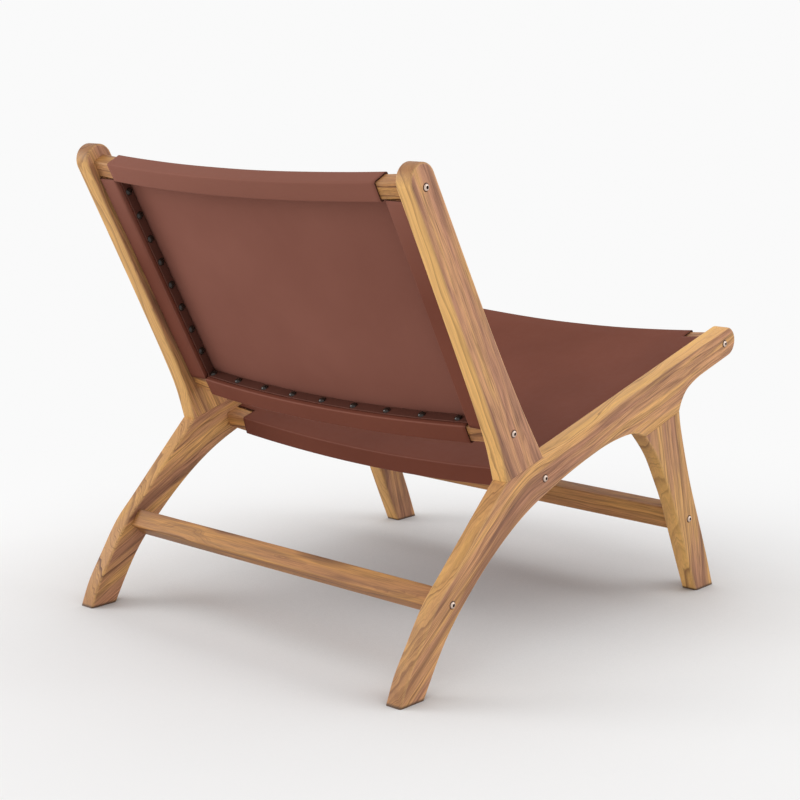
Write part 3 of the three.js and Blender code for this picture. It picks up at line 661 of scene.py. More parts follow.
def through(points, steps=spline_steps):
    """Each span blends its two ends with tangents that are half the step between their neighbours."""
    p = np.asarray(points, float)
    start = np.arange(len(p) - 1)
    before, after = p[np.maximum(start - 1, 0)], p[np.minimum(start + 2, len(p) - 1)]
    first, last = p[start], p[start + 1]
    leave, arrive = (last - before) / 2, (after - first) / 2
    t = (np.arange(steps) / steps)[None, :, None]
    first, last, leave, arrive = (a[:, None, :] for a in (first, last, leave, arrive))
    curve = ((2 * first - 2 * last + leave + arrive) * t ** 3
             + (3 * last - 3 * first - 2 * leave - arrive) * t ** 2 + leave * t + first)
    return np.vstack([curve.reshape(-1, p.shape[1]), p[-1:]])


def share_curve(origin, size, shares):
    """A curve through points that are given as shares of a size, from an origin."""
    return through(np.asarray(origin) + np.array(shares) * np.asarray(size))


def arc(centre, radius, start, end, steps=arc_steps):
    """centre + radius * (cos, sin) of an angle that runs from start to end."""
    angle = np.linspace(start, end, steps + 1)
    return centre + radius * np.stack([np.cos(angle), np.sin(angle)], -1)


def post_edge(joint_point, side, shares):
    """A post's edge: straight at the head, and out towards the joint by shares of the flare there."""
    head_up, straight = back_span + post_head_rise, post_offset + side * post_width / 2
    from_bolt = joint_point - lower_bolt
    joint_up, flare = from_bolt @ back_up, from_bolt @ back_rear - straight
    along, out = np.array(shares).T
    return through(on_back(joint_up + (head_up - joint_up) * along, straight + flare * out))

# %% [markdown]
# ## The outline of one side
# The rail runs from the rear foot, over the arch, to the boss that the front leg grows out of, and on to the
# nose. From the post to the nose its top is straight. The post stands on its rear part and ends in a half
# round, and the leg goes down from the boss, wider at its top than below.

# %% Curves of the outline
boss_end = boss_start + boss_length
nose_radius = rail_depth / 2
rear_toe = np.array([rear_foot_length, 0.0])
front_heel, front_toe = footprint_length - front_foot_length, footprint_length
leg_rear_top, leg_front_top = on_rail(boss_start, boss_depth), on_rail(boss_end, boss_depth)
back_edge = share_curve((0, 0), heel, back_edge_shares)
arch = share_curve(rear_toe, leg_rear_top - rear_toe, arch_shares)
leg_rear_size = (front_heel - leg_rear_top[0], leg_rear_top[1])
leg_front_size = (front_toe - leg_front_top[0], leg_front_top[1])
leg_rear = share_curve((leg_rear_top[0], 0), leg_rear_size, leg_rear_shares)
leg_front = share_curve((leg_front_top[0], 0), leg_front_size, leg_front_shares)
flare_along, flare_drop = np.array(flare_shares).T
flare_depth = rail_depth + (boss_depth - rail_depth) * flare_drop
flare = through(on_rail(boss_end + flare_length * flare_along, flare_depth))
nose = arc(on_rail(nose_run, nose_radius), nose_radius, rail_pitch - np.pi / 2, rail_pitch + np.pi / 2)
top_edge = on_rail(np.linspace(nose_run, post_joint_length, straight_steps), 0.0)
under_rail = np.linspace(flare[-1], nose[0], under_steps)
post_cap = arc(on_back(back_span + post_head_rise, post_offset), post_width / 2, back_lean, back_lean + np.pi)
post_toe_edge = post_edge(on_rail(post_joint_length, 0.0), -1, toe_flare_shares)
post_heel_edge = post_edge(heel, 1, heel_flare_shares)[::-1]
print("arch points:", len(arch), "post cap from", np.round(post_cap[0], 4), "to", np.round(post_cap[-1], 4))

# %% [markdown]
# ## Boards with rounded edges
# A board is its outline carried through its thickness by a small profile: in from the edge by the rounding
# at both faces, and out to the full outline between them. Where a board was sawn, at a foot's sole or a glue
# line, the profile slides along the saw cut instead, so that the cut stays flat and sharp.

# %% Rounded edges
profile_steps, edge_band = 6, 0.005
same_point, straight_on_limit, square_share, slide_length, slide_limit = 1e-7, 0.1, 0.02, 0.012, 0.3


def polyline_normals(points):
    """Inward normals of an open curve: the mean direction of the two steps at a point, turned left, and
    lengthened so that a move along it is a full move square to both steps."""
    step = np.diff(points, axis=0)
    step /= np.linalg.norm(step, axis=1, keepdims=True)
    before, after = np.vstack([step[:1], step]), np.vstack([step, step[-1:]])
    mean = (before + after) / np.linalg.norm(before + after, axis=1, keepdims=True)
    left = np.stack([-mean[:, 1], mean[:, 0]], -1)
    return left / np.einsum("ij,ij->i", mean, after)[:, None]


def slide_along_cut(curve, inward, cut, end):
    """Turns the inward directions near one end towards the saw cut, wholly there and less with the distance.
    Each still moves a full step square to its edge, so the rounding keeps its size."""
    step = np.linalg.norm(np.diff(curve, axis=0), axis=1)
    run = np.r_[0.0, np.cumsum(step)]
    away = run if end == 0 else run[-1] - run
    square = inward / np.linalg.norm(inward, axis=1, keepdims=True)
    facing = square @ cut
    weight = np.clip(1 - away / slide_length, 0, 1) * (facing > slide_limit)
    weight[end] = 1.0
    along = cut / np.maximum(facing, square_share)[:, None]
    return inward * (1 - weight)[:, None] + along * weight[:, None]


def board_stations(curves):
    """Points and inward directions round a board. Curves run with the wood on their left; between the end of
    one and the start of the next the board is sawn straight, and the directions turn to lie along that cut.
    Where a curve runs straight on into the cut, its rounding stops there, and a square station follows."""
    curves = [c[np.r_[True, np.linalg.norm(np.diff(c, axis=0), axis=1) > same_point]] for c in curves]
    inward = [polyline_normals(c) for c in curves]
    for i in range(len(curves)):
        j = (i + 1) % len(curves)
        cut = curves[j][0] - curves[i][-1]
        cut /= np.linalg.norm(cut)
        inward[j] = slide_along_cut(curves[j], inward[j], -cut, 0)
        if abs(cut @ inward[i][-1]) > straight_on_limit:
            inward[i] = slide_along_cut(curves[i], inward[i], cut, -1)
        else:
            curves[i] = np.vstack([curves[i], curves[i][-1:]])
            inward[i] = np.vstack([inward[i], inward[i][-1:] * square_share])
    return np.vstack(curves), np.vstack(inward)


def edge_profile():
    """Inset and height from face to face: a band on the face, a quarter round, and its mirror image. Gives
    also how worn each place is, most in the middle of the round, and how far it faces sideways."""
    angle = np.linspace(0, np.pi / 2, profile_steps + 1)
    half = plank_thickness / 2
    inset = np.r_[edge_radius + edge_band, edge_radius * (1 - np.sin(angle))]
    height = np.r_[half, half - edge_radius * (1 - np.cos(angle))]
    wear = np.r_[0.0, np.sin(2 * angle) ** 0.5]
    narrow = np.r_[0.0, np.sin(angle)]
    return [np.r_[inset, inset[::-1]], np.r_[height, -height[::-1]],
            np.r_[wear, wear[::-1]], np.r_[narrow, narrow[::-1]]]


print("the profile has", len(edge_profile()[0]), "places from face to face")

# %% [markdown]
# ## One board
# The walls come from the outline and the profile. The two faces are filled with triangles, with the holes
# for the screws left open. A screw's hole is drilled through, with a shallow wider seat on the outer side
# that its washer lies in.

# %% One board
hole_radius, seat_radius, seat_depth, hole_steps = 0.0034, 0.0057, 0.0012, 28


def ring(centre, radius, steps=hole_steps):
    """centre + radius * (cos, sin) of an angle that goes once round."""
    angle = np.linspace(0, 2 * np.pi, steps, endpoint=False)
    return centre + radius * np.stack([np.cos(angle), np.sin(angle)], -1)


def filled(flat, rims):
    """Triangles that fill the two faces between their rims, each turned to its own side."""
    faces = []
    for side, loops in rims.items():
        outlines = [[Vector((*flat[i], 0.0)) for i in loop] for loop in loops]
        numbers = np.concatenate(loops)
        for corners in tessellate_polygon(outlines):
            triangle = [int(numbers[c]) for c in corners]
            a, b, c = flat[triangle]
            ccw = np.cross(b - a, c - a) > 0
            faces.append(triangle if ccw == (side == 0) else triangle[::-1])
    return faces


def make_board(name, curves, outward_side, screw_places, material, replaced):
    """The board's walls as one grid, its two faces cut round the screw holes, and the holes' own walls."""
    outline, inward = board_stations(curves)
    inset, height, wear, narrow = edge_profile()
    plan = outline[:, None, :] + inward[:, None, :] * inset[None, :, None]
    heights = np.broadcast_to(height, plan.shape[:2])
    rows, columns = plan.shape[:2]
    points, levels = [plan.reshape(-1, 2)], [heights.ravel()]
    faces = grid_faces(rows, columns, closed_rows=True).tolist()
    rims = {0: [np.arange(rows) * columns], 1: [np.arange(rows) * columns + columns - 1]}
    half, count = plank_thickness / 2, rows * columns
    for place in screw_places:
        circles = [(seat_radius, half), (seat_radius, half - seat_depth),
                   (hole_radius, half - seat_depth), (hole_radius, -half)]
        for radius, level in circles:
            points.append(ring(place, radius))
            levels.append(np.full(hole_steps, level))
        faces += (count + grid_faces(len(circles), hole_steps, closed_columns=True)).tolist()
        rims[0].append(count + np.arange(hole_steps))
        rims[1].append(count + (len(circles) - 1) * hole_steps + np.arange(hole_steps))
        count += len(circles) * hole_steps
    flat, levels = np.vstack(points), np.concatenate(levels)
    faces += filled(flat, rims)
    x = outward_side * (inner_half + plank_thickness / 2 + levels)
    world = side_to_world(flat, x)
    inner = np.zeros(count - rows * columns)
    return make_piece(name, world, outward(world, faces), material, "teak", [replaced],
                      edge=np.r_[np.tile(wear, rows), inner], narrow=np.r_[np.tile(narrow, rows), inner])

# %% [markdown]
# ## The six boards
# Each side has a rail, a leg and a post. The post and the leg are drawn back by a hair where they are glued
# to the rail, so that the joint shows as a fine line, as it does in the wood. The screws' places are read
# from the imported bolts.

# %% Places of the boards
sides = {"left": -1, "right": 1}


def middle_of(cad_node):
    """The middle of a node's box."""
    low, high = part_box(cad_node)
    return (low + high) / 2


def screw_point(place):
    """Where a screw's axis crosses the side view."""
    middle = middle_of(f"bolt_{place}_left")
    return np.array([chair_depth / 2 - middle.y, middle.z])


def shifted(curve, end, distance):
    """The curve with one end moved along its own direction, until it is that far past its line."""
    curve = curve.copy()
    along = curve[end] - curve[end - 1 if end == -1 else 1]
    along /= np.linalg.norm(along)
    curve[end] -= along * distance / abs(along @ depth_axis)
    return curve


boards = {
    "side_rail": (
        [arch, np.vstack([flare, under_rail[1:-1], nose, top_edge[1:]]), back_edge[::-1]],
        ["seat_rear", "seat_front", "rear_stretcher"]),
    "front_leg": (
        [leg_front, leg_rear], ["front_stretcher"]),
    "back_post": (
        [np.vstack([post_toe_edge, post_cap[1:-1], post_heel_edge])], ["back_top", "back_bottom"]),
}


def fitted(board):
    """The board's curves, drawn back by the glue gap where they meet the rail."""
    curves, _ = boards[board]
    if board == "front_leg":
        return [shifted(curves[0], -1, joint_gap), shifted(curves[1], 0, joint_gap)]
    if board == "back_post":
        return [shifted(shifted(curves[0], 0, joint_gap), -1, joint_gap)]
    return curves


print("boards of one side:", ", ".join(boards))

# %% [markdown]
# ## Each board's own wood
# A board is sawn with the grain along it, so each has an angle of its own. It reads the trunk at a place of
# its own, and has a tone of its own, as boards from different trees do. The right side's boards are toned
# darker still, to the shade that side is seen in from inside the chair: that part of their tone is painted
# shade.

# %% Boards
grain_angles = {"side_rail": np.radians(17), "front_leg": np.radians(104), "back_post": np.pi / 2 + back_lean}
# The right side's darker tones are partly painted shade, on top of each board's own tone.
board_tones_and_shade = {
    ("side_rail", "left"): (1.04, 1.03, 1.0), ("side_rail", "right"): (0.99, 0.975, 0.91),
    ("front_leg", "left"): (0.93, 0.93, 0.9), ("front_leg", "right"): (0.79, 0.77, 0.75),
    ("back_post", "left"): (1.04, 1.05, 1.07), ("back_post", "right"): (0.86, 0.84, 0.83),
}
board_plainness = {"side_rail": 0.6, "front_leg": 0.7, "back_post": 0.85}
board_lines = {"side_rail": 1.3, "front_leg": 0.8, "back_post": 0.6}
leg_bend_start, leg_turns = -0.085, {"left": np.radians(22), "right": np.radians(9)}
pith_places = {
    ("side_rail", "left"): (1.75, 0.14, 0.15), ("side_rail", "right"): (2.3, -0.14, 0.15),
    ("front_leg", "left"): (0.4, 0.035, 0.05), ("front_leg", "right"): (1.4, -0.06, 0.06),
    ("back_post", "left"): (2.75, 0.08, 0.04), ("back_post", "right"): (1.7, -0.08, 0.1),
}
for board, (_, screw_names) in boards.items():
    for side_name, side in sides.items():
        angle = grain_angles[board]
        leg_bend = (leg_bend_start, np.tan(leg_turns[side_name]))
        wood = make_teak(
            f"teak_{board}_{side_name}", (0.0, -np.cos(angle), np.sin(angle)),
            middle_of(f"{board}_{side_name}"), pith_places[board, side_name],
            leg_bend if board == "side_rail" else no_bend, board_tones_and_shade[board, side_name],
            stands=board != "back_post", plainness=board_plainness[board], lines=board_lines[board])
        screw_points = [screw_point(screw_name) for screw_name in screw_names]
        piece = make_board(f"{board}_board_{side_name}", fitted(board), side, screw_points,
                           wood, f"{board}_{side_name}")
        print(piece.name, len(piece.data.polygons), "faces")

# %% [markdown]
# ## Stretchers and curved rails
# The other wood is bars. A stretcher is straight, its wide side turned to the angle of its legs. The four
# rails of the wrapped frames bow a little towards the open side, so that a back doesn't meet a hard edge.
# Each bar is a rounded rectangle carried across the chair, and shows at its ends beside the leather. A bar's
# grain runs across the chair, and all its faces are about equally narrow.

# %% Bar helpers
bar_steps, corner_steps, bar_calm = 40, 6, 0.4
bar_half = inner_half - joint_gap
bar_x = np.linspace(-bar_half, bar_half, bar_steps + 1)
across_chair = (1.0, 0.0, 0.0)


def rounded_rectangle(width, height, radius, steps=corner_steps):
    """Four quarter rounds, one at each corner, taken in turn."""
    quarter = np.linspace(0, np.pi / 2, steps + 1)
    corners = [(1, 1), (-1, 1), (-1, -1), (1, -1)]
    parts = []
    for turn, (sx, sy) in enumerate(corners):
        angle = quarter + turn * np.pi / 2
        centre = np.array([sx * (width / 2 - radius), sy * (height / 2 - radius)])
        parts.append(centre + radius * np.stack([np.cos(angle), np.sin(angle)], -1))
    return np.vstack(parts), np.tile(np.sin(2 * quarter), len(corners))


def capped_tube(rings):
    """Points and faces of a closed tube over equal rings, with a flat face at each end."""
    rows, columns = rings.shape[:2]
    faces = grid_faces(rows, columns, closed_columns=True).tolist()
    faces += [list(range(columns))[::-1], [(rows - 1) * columns + c for c in range(columns)]]
    return rings.reshape(-1, 3), faces


def make_bar(cad_node, rings, edge, pith, tone):
    """A bar of teak that stands for a node."""
    points, faces = capped_tube(rings)
    wood = make_teak(f"teak_{cad_node}", across_chair, middle_of(cad_node), pith, tone=tone)
    return make_piece(f"{cad_node}_bar", points, outward(points, faces), wood, "teak", [cad_node],
                      edge=np.tile(edge, len(rings)), narrow=np.full(len(points), bar_calm))


print("a bar is", round(2 * bar_half, 4), "long")

# %% [markdown]
# ## Stretchers
# A stretcher holds the two side frames apart low down, one between the rear legs and one between the front
# legs. It is a plain straight bar, so its section is only turned to its legs' angle and repeated across.

# %% Stretchers
stretcher_size, stretcher_radius = (0.0275, 0.033), 0.0025
# For each: its tilt, its middle's place from the pith, and its tone.
stretchers = {
    "rear_stretcher": (np.radians(142), (0.3, 0.05, 0.09), (0.7, 0.6, 0.47)),
    "front_stretcher": (np.radians(101), (1.0, 0.05, 0.05), (0.8, 0.73, 0.62)),
}

for name, (tilt, pith, tone) in stretchers.items():
    section, edge = rounded_rectangle(*stretcher_size, stretcher_radius)
    wide, narrow = np.array([np.cos(tilt), np.sin(tilt)]), np.array([np.sin(tilt), -np.cos(tilt)])
    middle = middle_of(name)
    place = np.array([chair_depth / 2 - middle.y, middle.z])
    plan = place + section[:, :1] * narrow + section[:, 1:] * wide
    rings = side_to_world(np.broadcast_to(plan, (bar_steps + 1, *plan.shape)), bar_x[:, None])
    make_bar(name, rings, edge, pith, tone)
print("stretchers:", ", ".join(stretchers))

# %% [markdown]
# ## The two wrapped frames
# The back and the seat are built in the same way, so each gets axes of its own, and what follows is worked
# out there once for both. The bow is a parabola across the chair, which every rail follows.

# %% Axes of the wrapped frames
class LocalFrame:
    """Axes of a wrapped frame: x across the chair, y from first rail to second, z to the open side."""

    def __init__(self, origin, x_axis, up, span, face, depth, bow, sag):
        self.origin, self.span, self.face, self.depth = origin, span, face, depth
        self.bow, self.sag = bow, sag
        self.axes = np.array([x_axis, up, np.cross(x_axis, up)])

    def world(self, points):
        """Points of this frame, in the chair's own."""
        return self.origin + np.asarray(points, float) @ self.axes

    def bow_at(self, x):
        """bow * (1 - (x / half) ** 2): all of it in the middle, none at the side frames."""
        return self.bow * (1 - (x / inner_half) ** 2)


def in_world(direction):
    """A direction of the side view as a unit direction in the chair."""
    return np.array([0.0, -direction[0], direction[1]]) / np.linalg.norm(direction)


seat_rear = on_rail(seat_rear_run, seat_rear_depth)
seat_front_run = seat_rear_run + np.sqrt(seat_span ** 2 - (seat_rear_depth - seat_front_depth) ** 2)
seat_front = on_rail(seat_front_run, seat_front_depth)
to_left, to_right = np.array([-1.0, 0.0, 0.0]), np.array([1.0, 0.0, 0.0])
back_frame = LocalFrame(side_to_world(lower_bolt, 0.0), to_left, in_world(back_up), back_span,
                        face=0.025, depth=0.0225, bow=0.0205, sag=0.004)
seat_frame = LocalFrame(side_to_world(seat_rear, 0.0), to_right, in_world(seat_front - seat_rear), seat_span,
                        face=0.024, depth=0.024, bow=0.017, sag=0.008)
print("the back opens towards", np.round(back_frame.axes[2], 3), "the seat", np.round(seat_frame.axes[2], 3))

# %% [markdown]
# ## Curved rails
# Each wrapped frame has a rail at both ends. The real ones could be sawn or bent to their curve. Here the
# rounded rectangle is moved by the bow at every step across the chair, so its size stays the same.

# %% Curved rails
rail_radius, rail_tone = 0.003, (0.77, 0.69, 0.62)
# For each: its frame, its place along the frame, and its middle's place from the pith.
bowed_rails = {
    "back_bottom_rail": (back_frame, 0.0, (1.1, 0.06, 0.08)),
    "back_top_rail": (back_frame, back_span, (1.7, 0.07, 0.08)),
    "seat_rear_rail": (seat_frame, 0.0, (2.3, 0.08, 0.08)),
    "seat_front_rail": (seat_frame, seat_span, (2.9, 0.09, 0.08)),
}

for name, (local, y, pith) in bowed_rails.items():
    section, edge = rounded_rectangle(local.face, local.depth, rail_radius)
    x = np.broadcast_to(bar_x[:, None], (len(bar_x), len(section)))
    rings = local.world(np.stack([x, y + section[:, 0] + 0 * x, section[:, 1] + local.bow_at(x)], -1))
    make_bar(name, rings, edge, pith, rail_tone)
print("curved rails:", ", ".join(bowed_rails))

# %% [markdown]
# ## The slings
# Each sling is one hide with its four corners cut out. Its middle is the panel that is sat on or leaned
# against. Two flaps go over the rails and round to their inner faces, and two narrower ones do the same on
# the side bars. The sheet is one surface: a path round the rails carried across the chair, and along both
# sides of its panel a path round the side bar, sewn on at shared points. Solidify gives it its thickness.

# %% Paths round the wood
leather_thickness, leather_radius, flap_length = 0.002, 0.003, 0.006
bare_end, stile_width, stile_side_gap = 0.0385, 0.028, 0.0023
leather_reach = joint_gap + leather_thickness
leather_half = inner_half - bare_end
stile_outer = inner_half - stile_side_gap - leather_reach
stile_inner = stile_outer - stile_width
stile_middle = (stile_outer + stile_inner) / 2
sheet_columns, panel_rows, fold_rows, flat_rows, flap_rows, fold_power = 90, 60, 7, 4, 2, 8


def rounded_path(corners, radius, flats):
    """An open path with each corner turned into a quarter round, and the straight between two rounds cut into
    steps. Gives the points, and how near each is to a fold: 1 in the middle of a round, 0 on the flats."""
    corners = [np.asarray(c, float) for c in corners]
    unit = [(b - a) / np.linalg.norm(b - a) for a, b in zip(corners, corners[1:])]
    quarter = np.linspace(0, np.pi / 2, fold_rows)[:, None]
    path, fold = [corners[0][None]], [np.zeros(1)]
    for i in range(1, len(corners) - 1):
        back, on = -unit[i - 1], unit[i]
        centre = corners[i] + radius * (back + on)
        bend = centre - radius * (on * np.cos(quarter) + back * np.sin(quarter))
        start = path[-1][-1]
        share = np.linspace(0, 1, flats[i - 1] + 1)[1:-1, None]
        path += [start + (bend[0] - start) * share, bend]
        fold += [np.zeros(len(share)), np.sin(2 * quarter[:, 0]) ** fold_power]
    share = np.linspace(0, 1, flats[-1] + 1)[1:, None]
    path.append(path[-1][-1] + (corners[-1] - path[-1][-1]) * share)
    fold.append(np.zeros(len(share)))
    return np.vstack(path), np.concatenate(fold)


def rail_path(local):
    """From the flap on the second rail's inner face, round it, down the panel, and round the first rail.
    Gives also the first and last row of the panel between the rails."""
    h, d = local.face / 2 + leather_reach, local.depth / 2 + leather_reach
    flap_end = local.depth / 2 + joint_gap - flap_length
    panel_edge = local.span - local.face / 2 - joint_gap
    second = [(local.span - h, flap_end), (local.span - h, d), (local.span + h, d), (local.span + h, -d),
              (panel_edge, -d)]
    path, fold = rounded_path(second, leather_radius, [flap_rows, flat_rows, flat_rows, flat_rows])
    down = np.linspace(panel_edge, local.span - panel_edge, panel_rows + 1)[1:-1]
    panel = np.stack([down, np.full_like(down, -d)], -1)
    mirrored = np.stack([local.span - path[:, 0], path[:, 1]], -1)[::-1]
    first = len(path) - 1
    return (np.vstack([path, panel, mirrored]), np.concatenate([fold, np.zeros(len(down)), fold[::-1]]),
            first, first + panel_rows)


def stile_path(local):
    """In x and z: from the panel's side edge over the side bar's front, which follows the bow, round its
    outer side and its flat rear, onto its inner face."""
    reach, half = leather_reach, local.depth / 2
    rear = local.bow_at(stile_middle) + half + reach
    front = [(x, local.bow_at(x) - half - reach) for x in (leather_half, stile_outer + reach)]
    corners = [*front, (stile_outer + reach, rear), (stile_inner - reach, rear),
               (stile_inner - reach, rear - reach + joint_gap - flap_length)]
    return rounded_path(corners, leather_radius, [flat_rows, flat_rows, flat_rows, flap_rows])


def path_length(points):
    """The sum of a path's steps."""
    return float(np.linalg.norm(np.diff(points, axis=0), axis=1).sum())


for label, local in {"back": back_frame, "seat": seat_frame}.items():
    print(label, "path round the rails", round(path_length(rail_path(local)[0]), 4),
          "and round a side bar", round(path_length(stile_path(local)[0]), 4))

# %% [markdown]
# ## The sheets
# Between the rails a sling sags a little: a parabola along the panel times one across it, with slow uneven
# waves on top. A hide like this is cut flat and pulled over the wood.

# %% Slings
uneven_height, uneven_waves = 0.00035, ((23.0, 17.0, 0.4), (11.0, 31.0, 1.9), (37.0, 7.0, 3.1))


def unevenness(across, along):
    """The mean of three slow waves that cross each other: hand-pulled leather is never quite flat."""
    waves = [np.sin(kx * across + ky * along + phase) for kx, ky, phase in uneven_waves]
    return uneven_height * sum(waves) / len(waves)


def sheet_points(local):
    """The path round the rails at every x, moved by the bow, and between the rails by the panel's sag: a
    parabola along the panel times a parabola across it."""
    path, fold, first, last = rail_path(local)
    x = np.linspace(-leather_half, leather_half, sheet_columns + 1)
    y, z = path[:, 0][:, None], path[:, 1][:, None]
    share = np.clip((y - local.face / 2) / (local.span - local.face), 0, 1)
    across = 1 - (x / leather_half) ** 2
    on_panel = z < -local.depth / 2
    drop = on_panel * (local.sag * 4 * share * (1 - share) * across + unevenness(x, y) * np.sqrt(across))
    points = np.stack([x + 0 * y, y + 0 * x, z + local.bow_at(x) + drop], -1)
    return points, np.repeat(fold[:, None], len(x), axis=1), first, last


def make_sling(label, local):
    """The main grid, and a narrower one on each side that shares the main grid's border between the rails."""
    main, fold, first, last = sheet_points(local)
    rows, columns = main.shape[:2]
    side, side_fold = stile_path(local)
    y = main[first:last + 1, 0, 1]
    points, folds = [main.reshape(-1, 3)], [fold.ravel()]
    faces = grid_faces(rows, columns).tolist()
    count, flap_columns = rows * columns, len(side) - 1
    for sign, border in ((-1, 0), (1, columns - 1)):
        shape = (len(y), flap_columns)
        flap = np.stack([np.broadcast_to(sign * side[1:, 0], shape), np.broadcast_to(y[:, None], shape),
                         np.broadcast_to(side[1:, 1], shape)], -1)
        numbers = np.empty((len(y), flap_columns + 1), int)
        numbers[:, 0] = np.arange(first, last + 1) * columns + border
        numbers[:, 1:] = count + np.arange(len(y) * flap_columns).reshape(shape)
        quads = numbers.ravel()[grid_faces(len(y), flap_columns + 1)]
        faces += (quads if sign > 0 else quads[:, ::-1]).tolist()
        points.append(flap.reshape(-1, 3))
        folds.append(np.tile(side_fold[1:], len(y)))
        count += flap.shape[0] * flap.shape[1]
    piece = make_piece(f"{label}_sling", local.world(np.vstack(points)), faces, leather, "leather",
                       [f"{label}_leather"], fold=np.concatenate(folds))
    piece.data.materials.append(cut_edge)
    piece.data.materials.append(flesh_side)
    wall = piece.modifiers.new("thickness", "SOLIDIFY")
    wall.thickness, wall.offset, wall.use_even_offset = leather_thickness, -1, True
    wall.material_offset_rim, wall.material_offset = 1, 2
    length, flap_width = path_length(rail_path(local)[0]), path_length(side)
    return piece


make_sling("back", back_frame)
make_sling("seat", seat_frame)

# %% [markdown]
# ## Binding strips and tacks
# The flaps end under narrow strips of thicker leather, and black tacks go through both into the wood. They
# are only seen from the open side of a frame. A strip is a rounded rectangle carried along the wood, and it
# dips a little under each tack, where the hammer pulled it down.

# %% Strips and tacks
strip_thickness, strip_clearance, strip_radius, strip_corner_steps = 0.0028, 0.0006, 0.0007, 3
strip_step, dip_share, dip_radius = 0.003, 0.22, 0.007
tack_radius, tack_height, tack_sunk, tack_sides, tack_foot = 0.0058, 0.0038, 0.0004, 20, 0.96
tack_rises = np.radians([0, 18, 36, 54, 70, 83])
open_side = np.array([0.0, 0.0, 1.0])


def strip_rings(base, along, normal, low, high, tacks):
    """Rounded rectangles at places along the wood, as points of the local frame. Their outer side comes in by
    a share that falls off from each tack as a bell curve."""
    width = high - low
    section, edge = rounded_rectangle(strip_thickness, width, strip_radius, strip_corner_steps)
    out = section[:, 0] + strip_thickness / 2
    height = section[:, 1] + width / 2
    away = np.abs(along[:, None] - tacks[None, :]).min(1)
    dip = dip_share * np.exp(-(away / dip_radius) ** 2)
    thick = out[None, :] * (1 - dip[:, None])
    return base[:, None, :] + thick[..., None] * normal + (low + height)[None, :, None] * open_side, edge


def tack_points(heads, normal):
    """Domes turned about the normal: a low cylinder wall, then a quarter ellipse up to a small flat crown."""
    radius = np.r_[tack_radius * tack_foot, tack_radius * np.cos(tack_rises)]
    height = np.r_[-tack_sunk, tack_height * np.sin(tack_rises)]
    turn = np.linspace(0, 2 * np.pi, tack_sides, endpoint=False)
    side = np.cross(normal, open_side)
    circle = np.cos(turn)[:, None] * side + np.sin(turn)[:, None] * open_side
    dome = radius[:, None, None] * circle + height[:, None, None] * normal
    return heads[:, None, None, :] + dome


def make_binding(cad_node, local, base_of, normal, span, low, high, tacks):
    """One strip and its row of tacks. base_of gives the wood's surface at places along the strip."""
    along = np.linspace(*span, int((span[1] - span[0]) / strip_step) + 1)
    tacks = tacks[(tacks > span[0] + tack_radius) & (tacks < span[1] - tack_radius)]
    rings, edge = strip_rings(base_of(along), along, normal, low, high, tacks)
    points, faces = capped_tube(local.world(rings))
    make_piece(f"{cad_node}_binding", points, outward(points, faces), strip_leather, "leather", [cad_node],
               fold=np.tile(edge, len(along)))
    heads = base_of(tacks) + strip_thickness * (1 - dip_share) * normal
    heads[:, 2] += (low + high) / 2
    domes = local.world(tack_points(heads, normal))
    one, dome_faces = capped_tube(domes[0])
    dome_faces = outward(one, dome_faces)
    many = [[i * len(one) + c for c in f] for i in range(len(heads)) for f in dome_faces]
    make_piece(f"{cad_node}_tacks", domes.reshape(-1, 3), many, black_lacquer, "steel")
    return len(heads)

# %% [markdown]
# ## Binding both frames
# A frame gets a strip on the inner face of each of its four bars. The rails' strips run from side strip to
# side strip and follow the bow. The tacks stand at an even pitch, wider on the rails than on the side bars.

# %% Binding both frames
rail_tack_pitch, rail_tack_first, stile_tack_pitch, stile_tack_first = 0.061, -0.2525, 0.04, 0.041


def bind_frame(label, local, first_name, second_name, stile_names):
    """Strips on both rails, which follow the bow, and on both side bars, which are straight."""
    half_depth, tack_count = local.depth / 2, 0
    strip_end = stile_inner - strip_thickness - 2 * joint_gap
    rail_tacks = np.arange(rail_tack_first, strip_end, rail_tack_pitch)
    for name, y, towards in ((first_name, 0.0, 1), (second_name, local.span, -1)):
        start = y + towards * (local.face / 2 + joint_gap)

        def on_rail_face(x, start=start):
            """The rail's inner face at places across the chair."""
            return np.stack([x, np.full_like(x, start), local.bow_at(x)], -1)

        tack_count += make_binding(
            f"{label}_tack_strip_{name}", local, on_rail_face, np.array([0.0, towards, 0.0]),
            (-strip_end, strip_end), strip_clearance - half_depth, half_depth - flap_length, rail_tacks)
    face_x = stile_inner - joint_gap
    low = strip_clearance - half_depth + local.bow_at(face_x - strip_thickness)
    high = half_depth - flap_length + local.bow_at(stile_middle)
    end = local.face / 2 + leather_reach + joint_gap
    stile_tacks = local.span - np.arange(stile_tack_first, local.span, stile_tack_pitch)
    for name, sign in stile_names.items():

        def on_stile_face(y, sign=sign):
            """The side bar's inner face at places along it."""
            return np.stack([np.full_like(y, sign * face_x), y, np.zeros_like(y)], -1)

        tack_count += make_binding(
            f"{label}_tack_strip_{name}", local, on_stile_face, np.array([-float(sign), 0.0, 0.0]),
            (end, local.span - end), low, high, stile_tacks)
    print(label, "frame has", tack_count, "tacks")


bind_frame("back", back_frame, "bottom", "top", {"left": 1, "right": -1})
bind_frame("seat", seat_frame, "rear", "front", {"left": -1, "right": 1})

# %% [markdown]
# ## Screws
# Twelve button-head screws hold the wrapped frames and the stretchers to the sides. A screw is turned on a
# lathe, so it is a profile carried round its axis, but its socket has six sides. There the radius follows the
# angle, so that the same grid goes from a round dome into a six-sided hole.

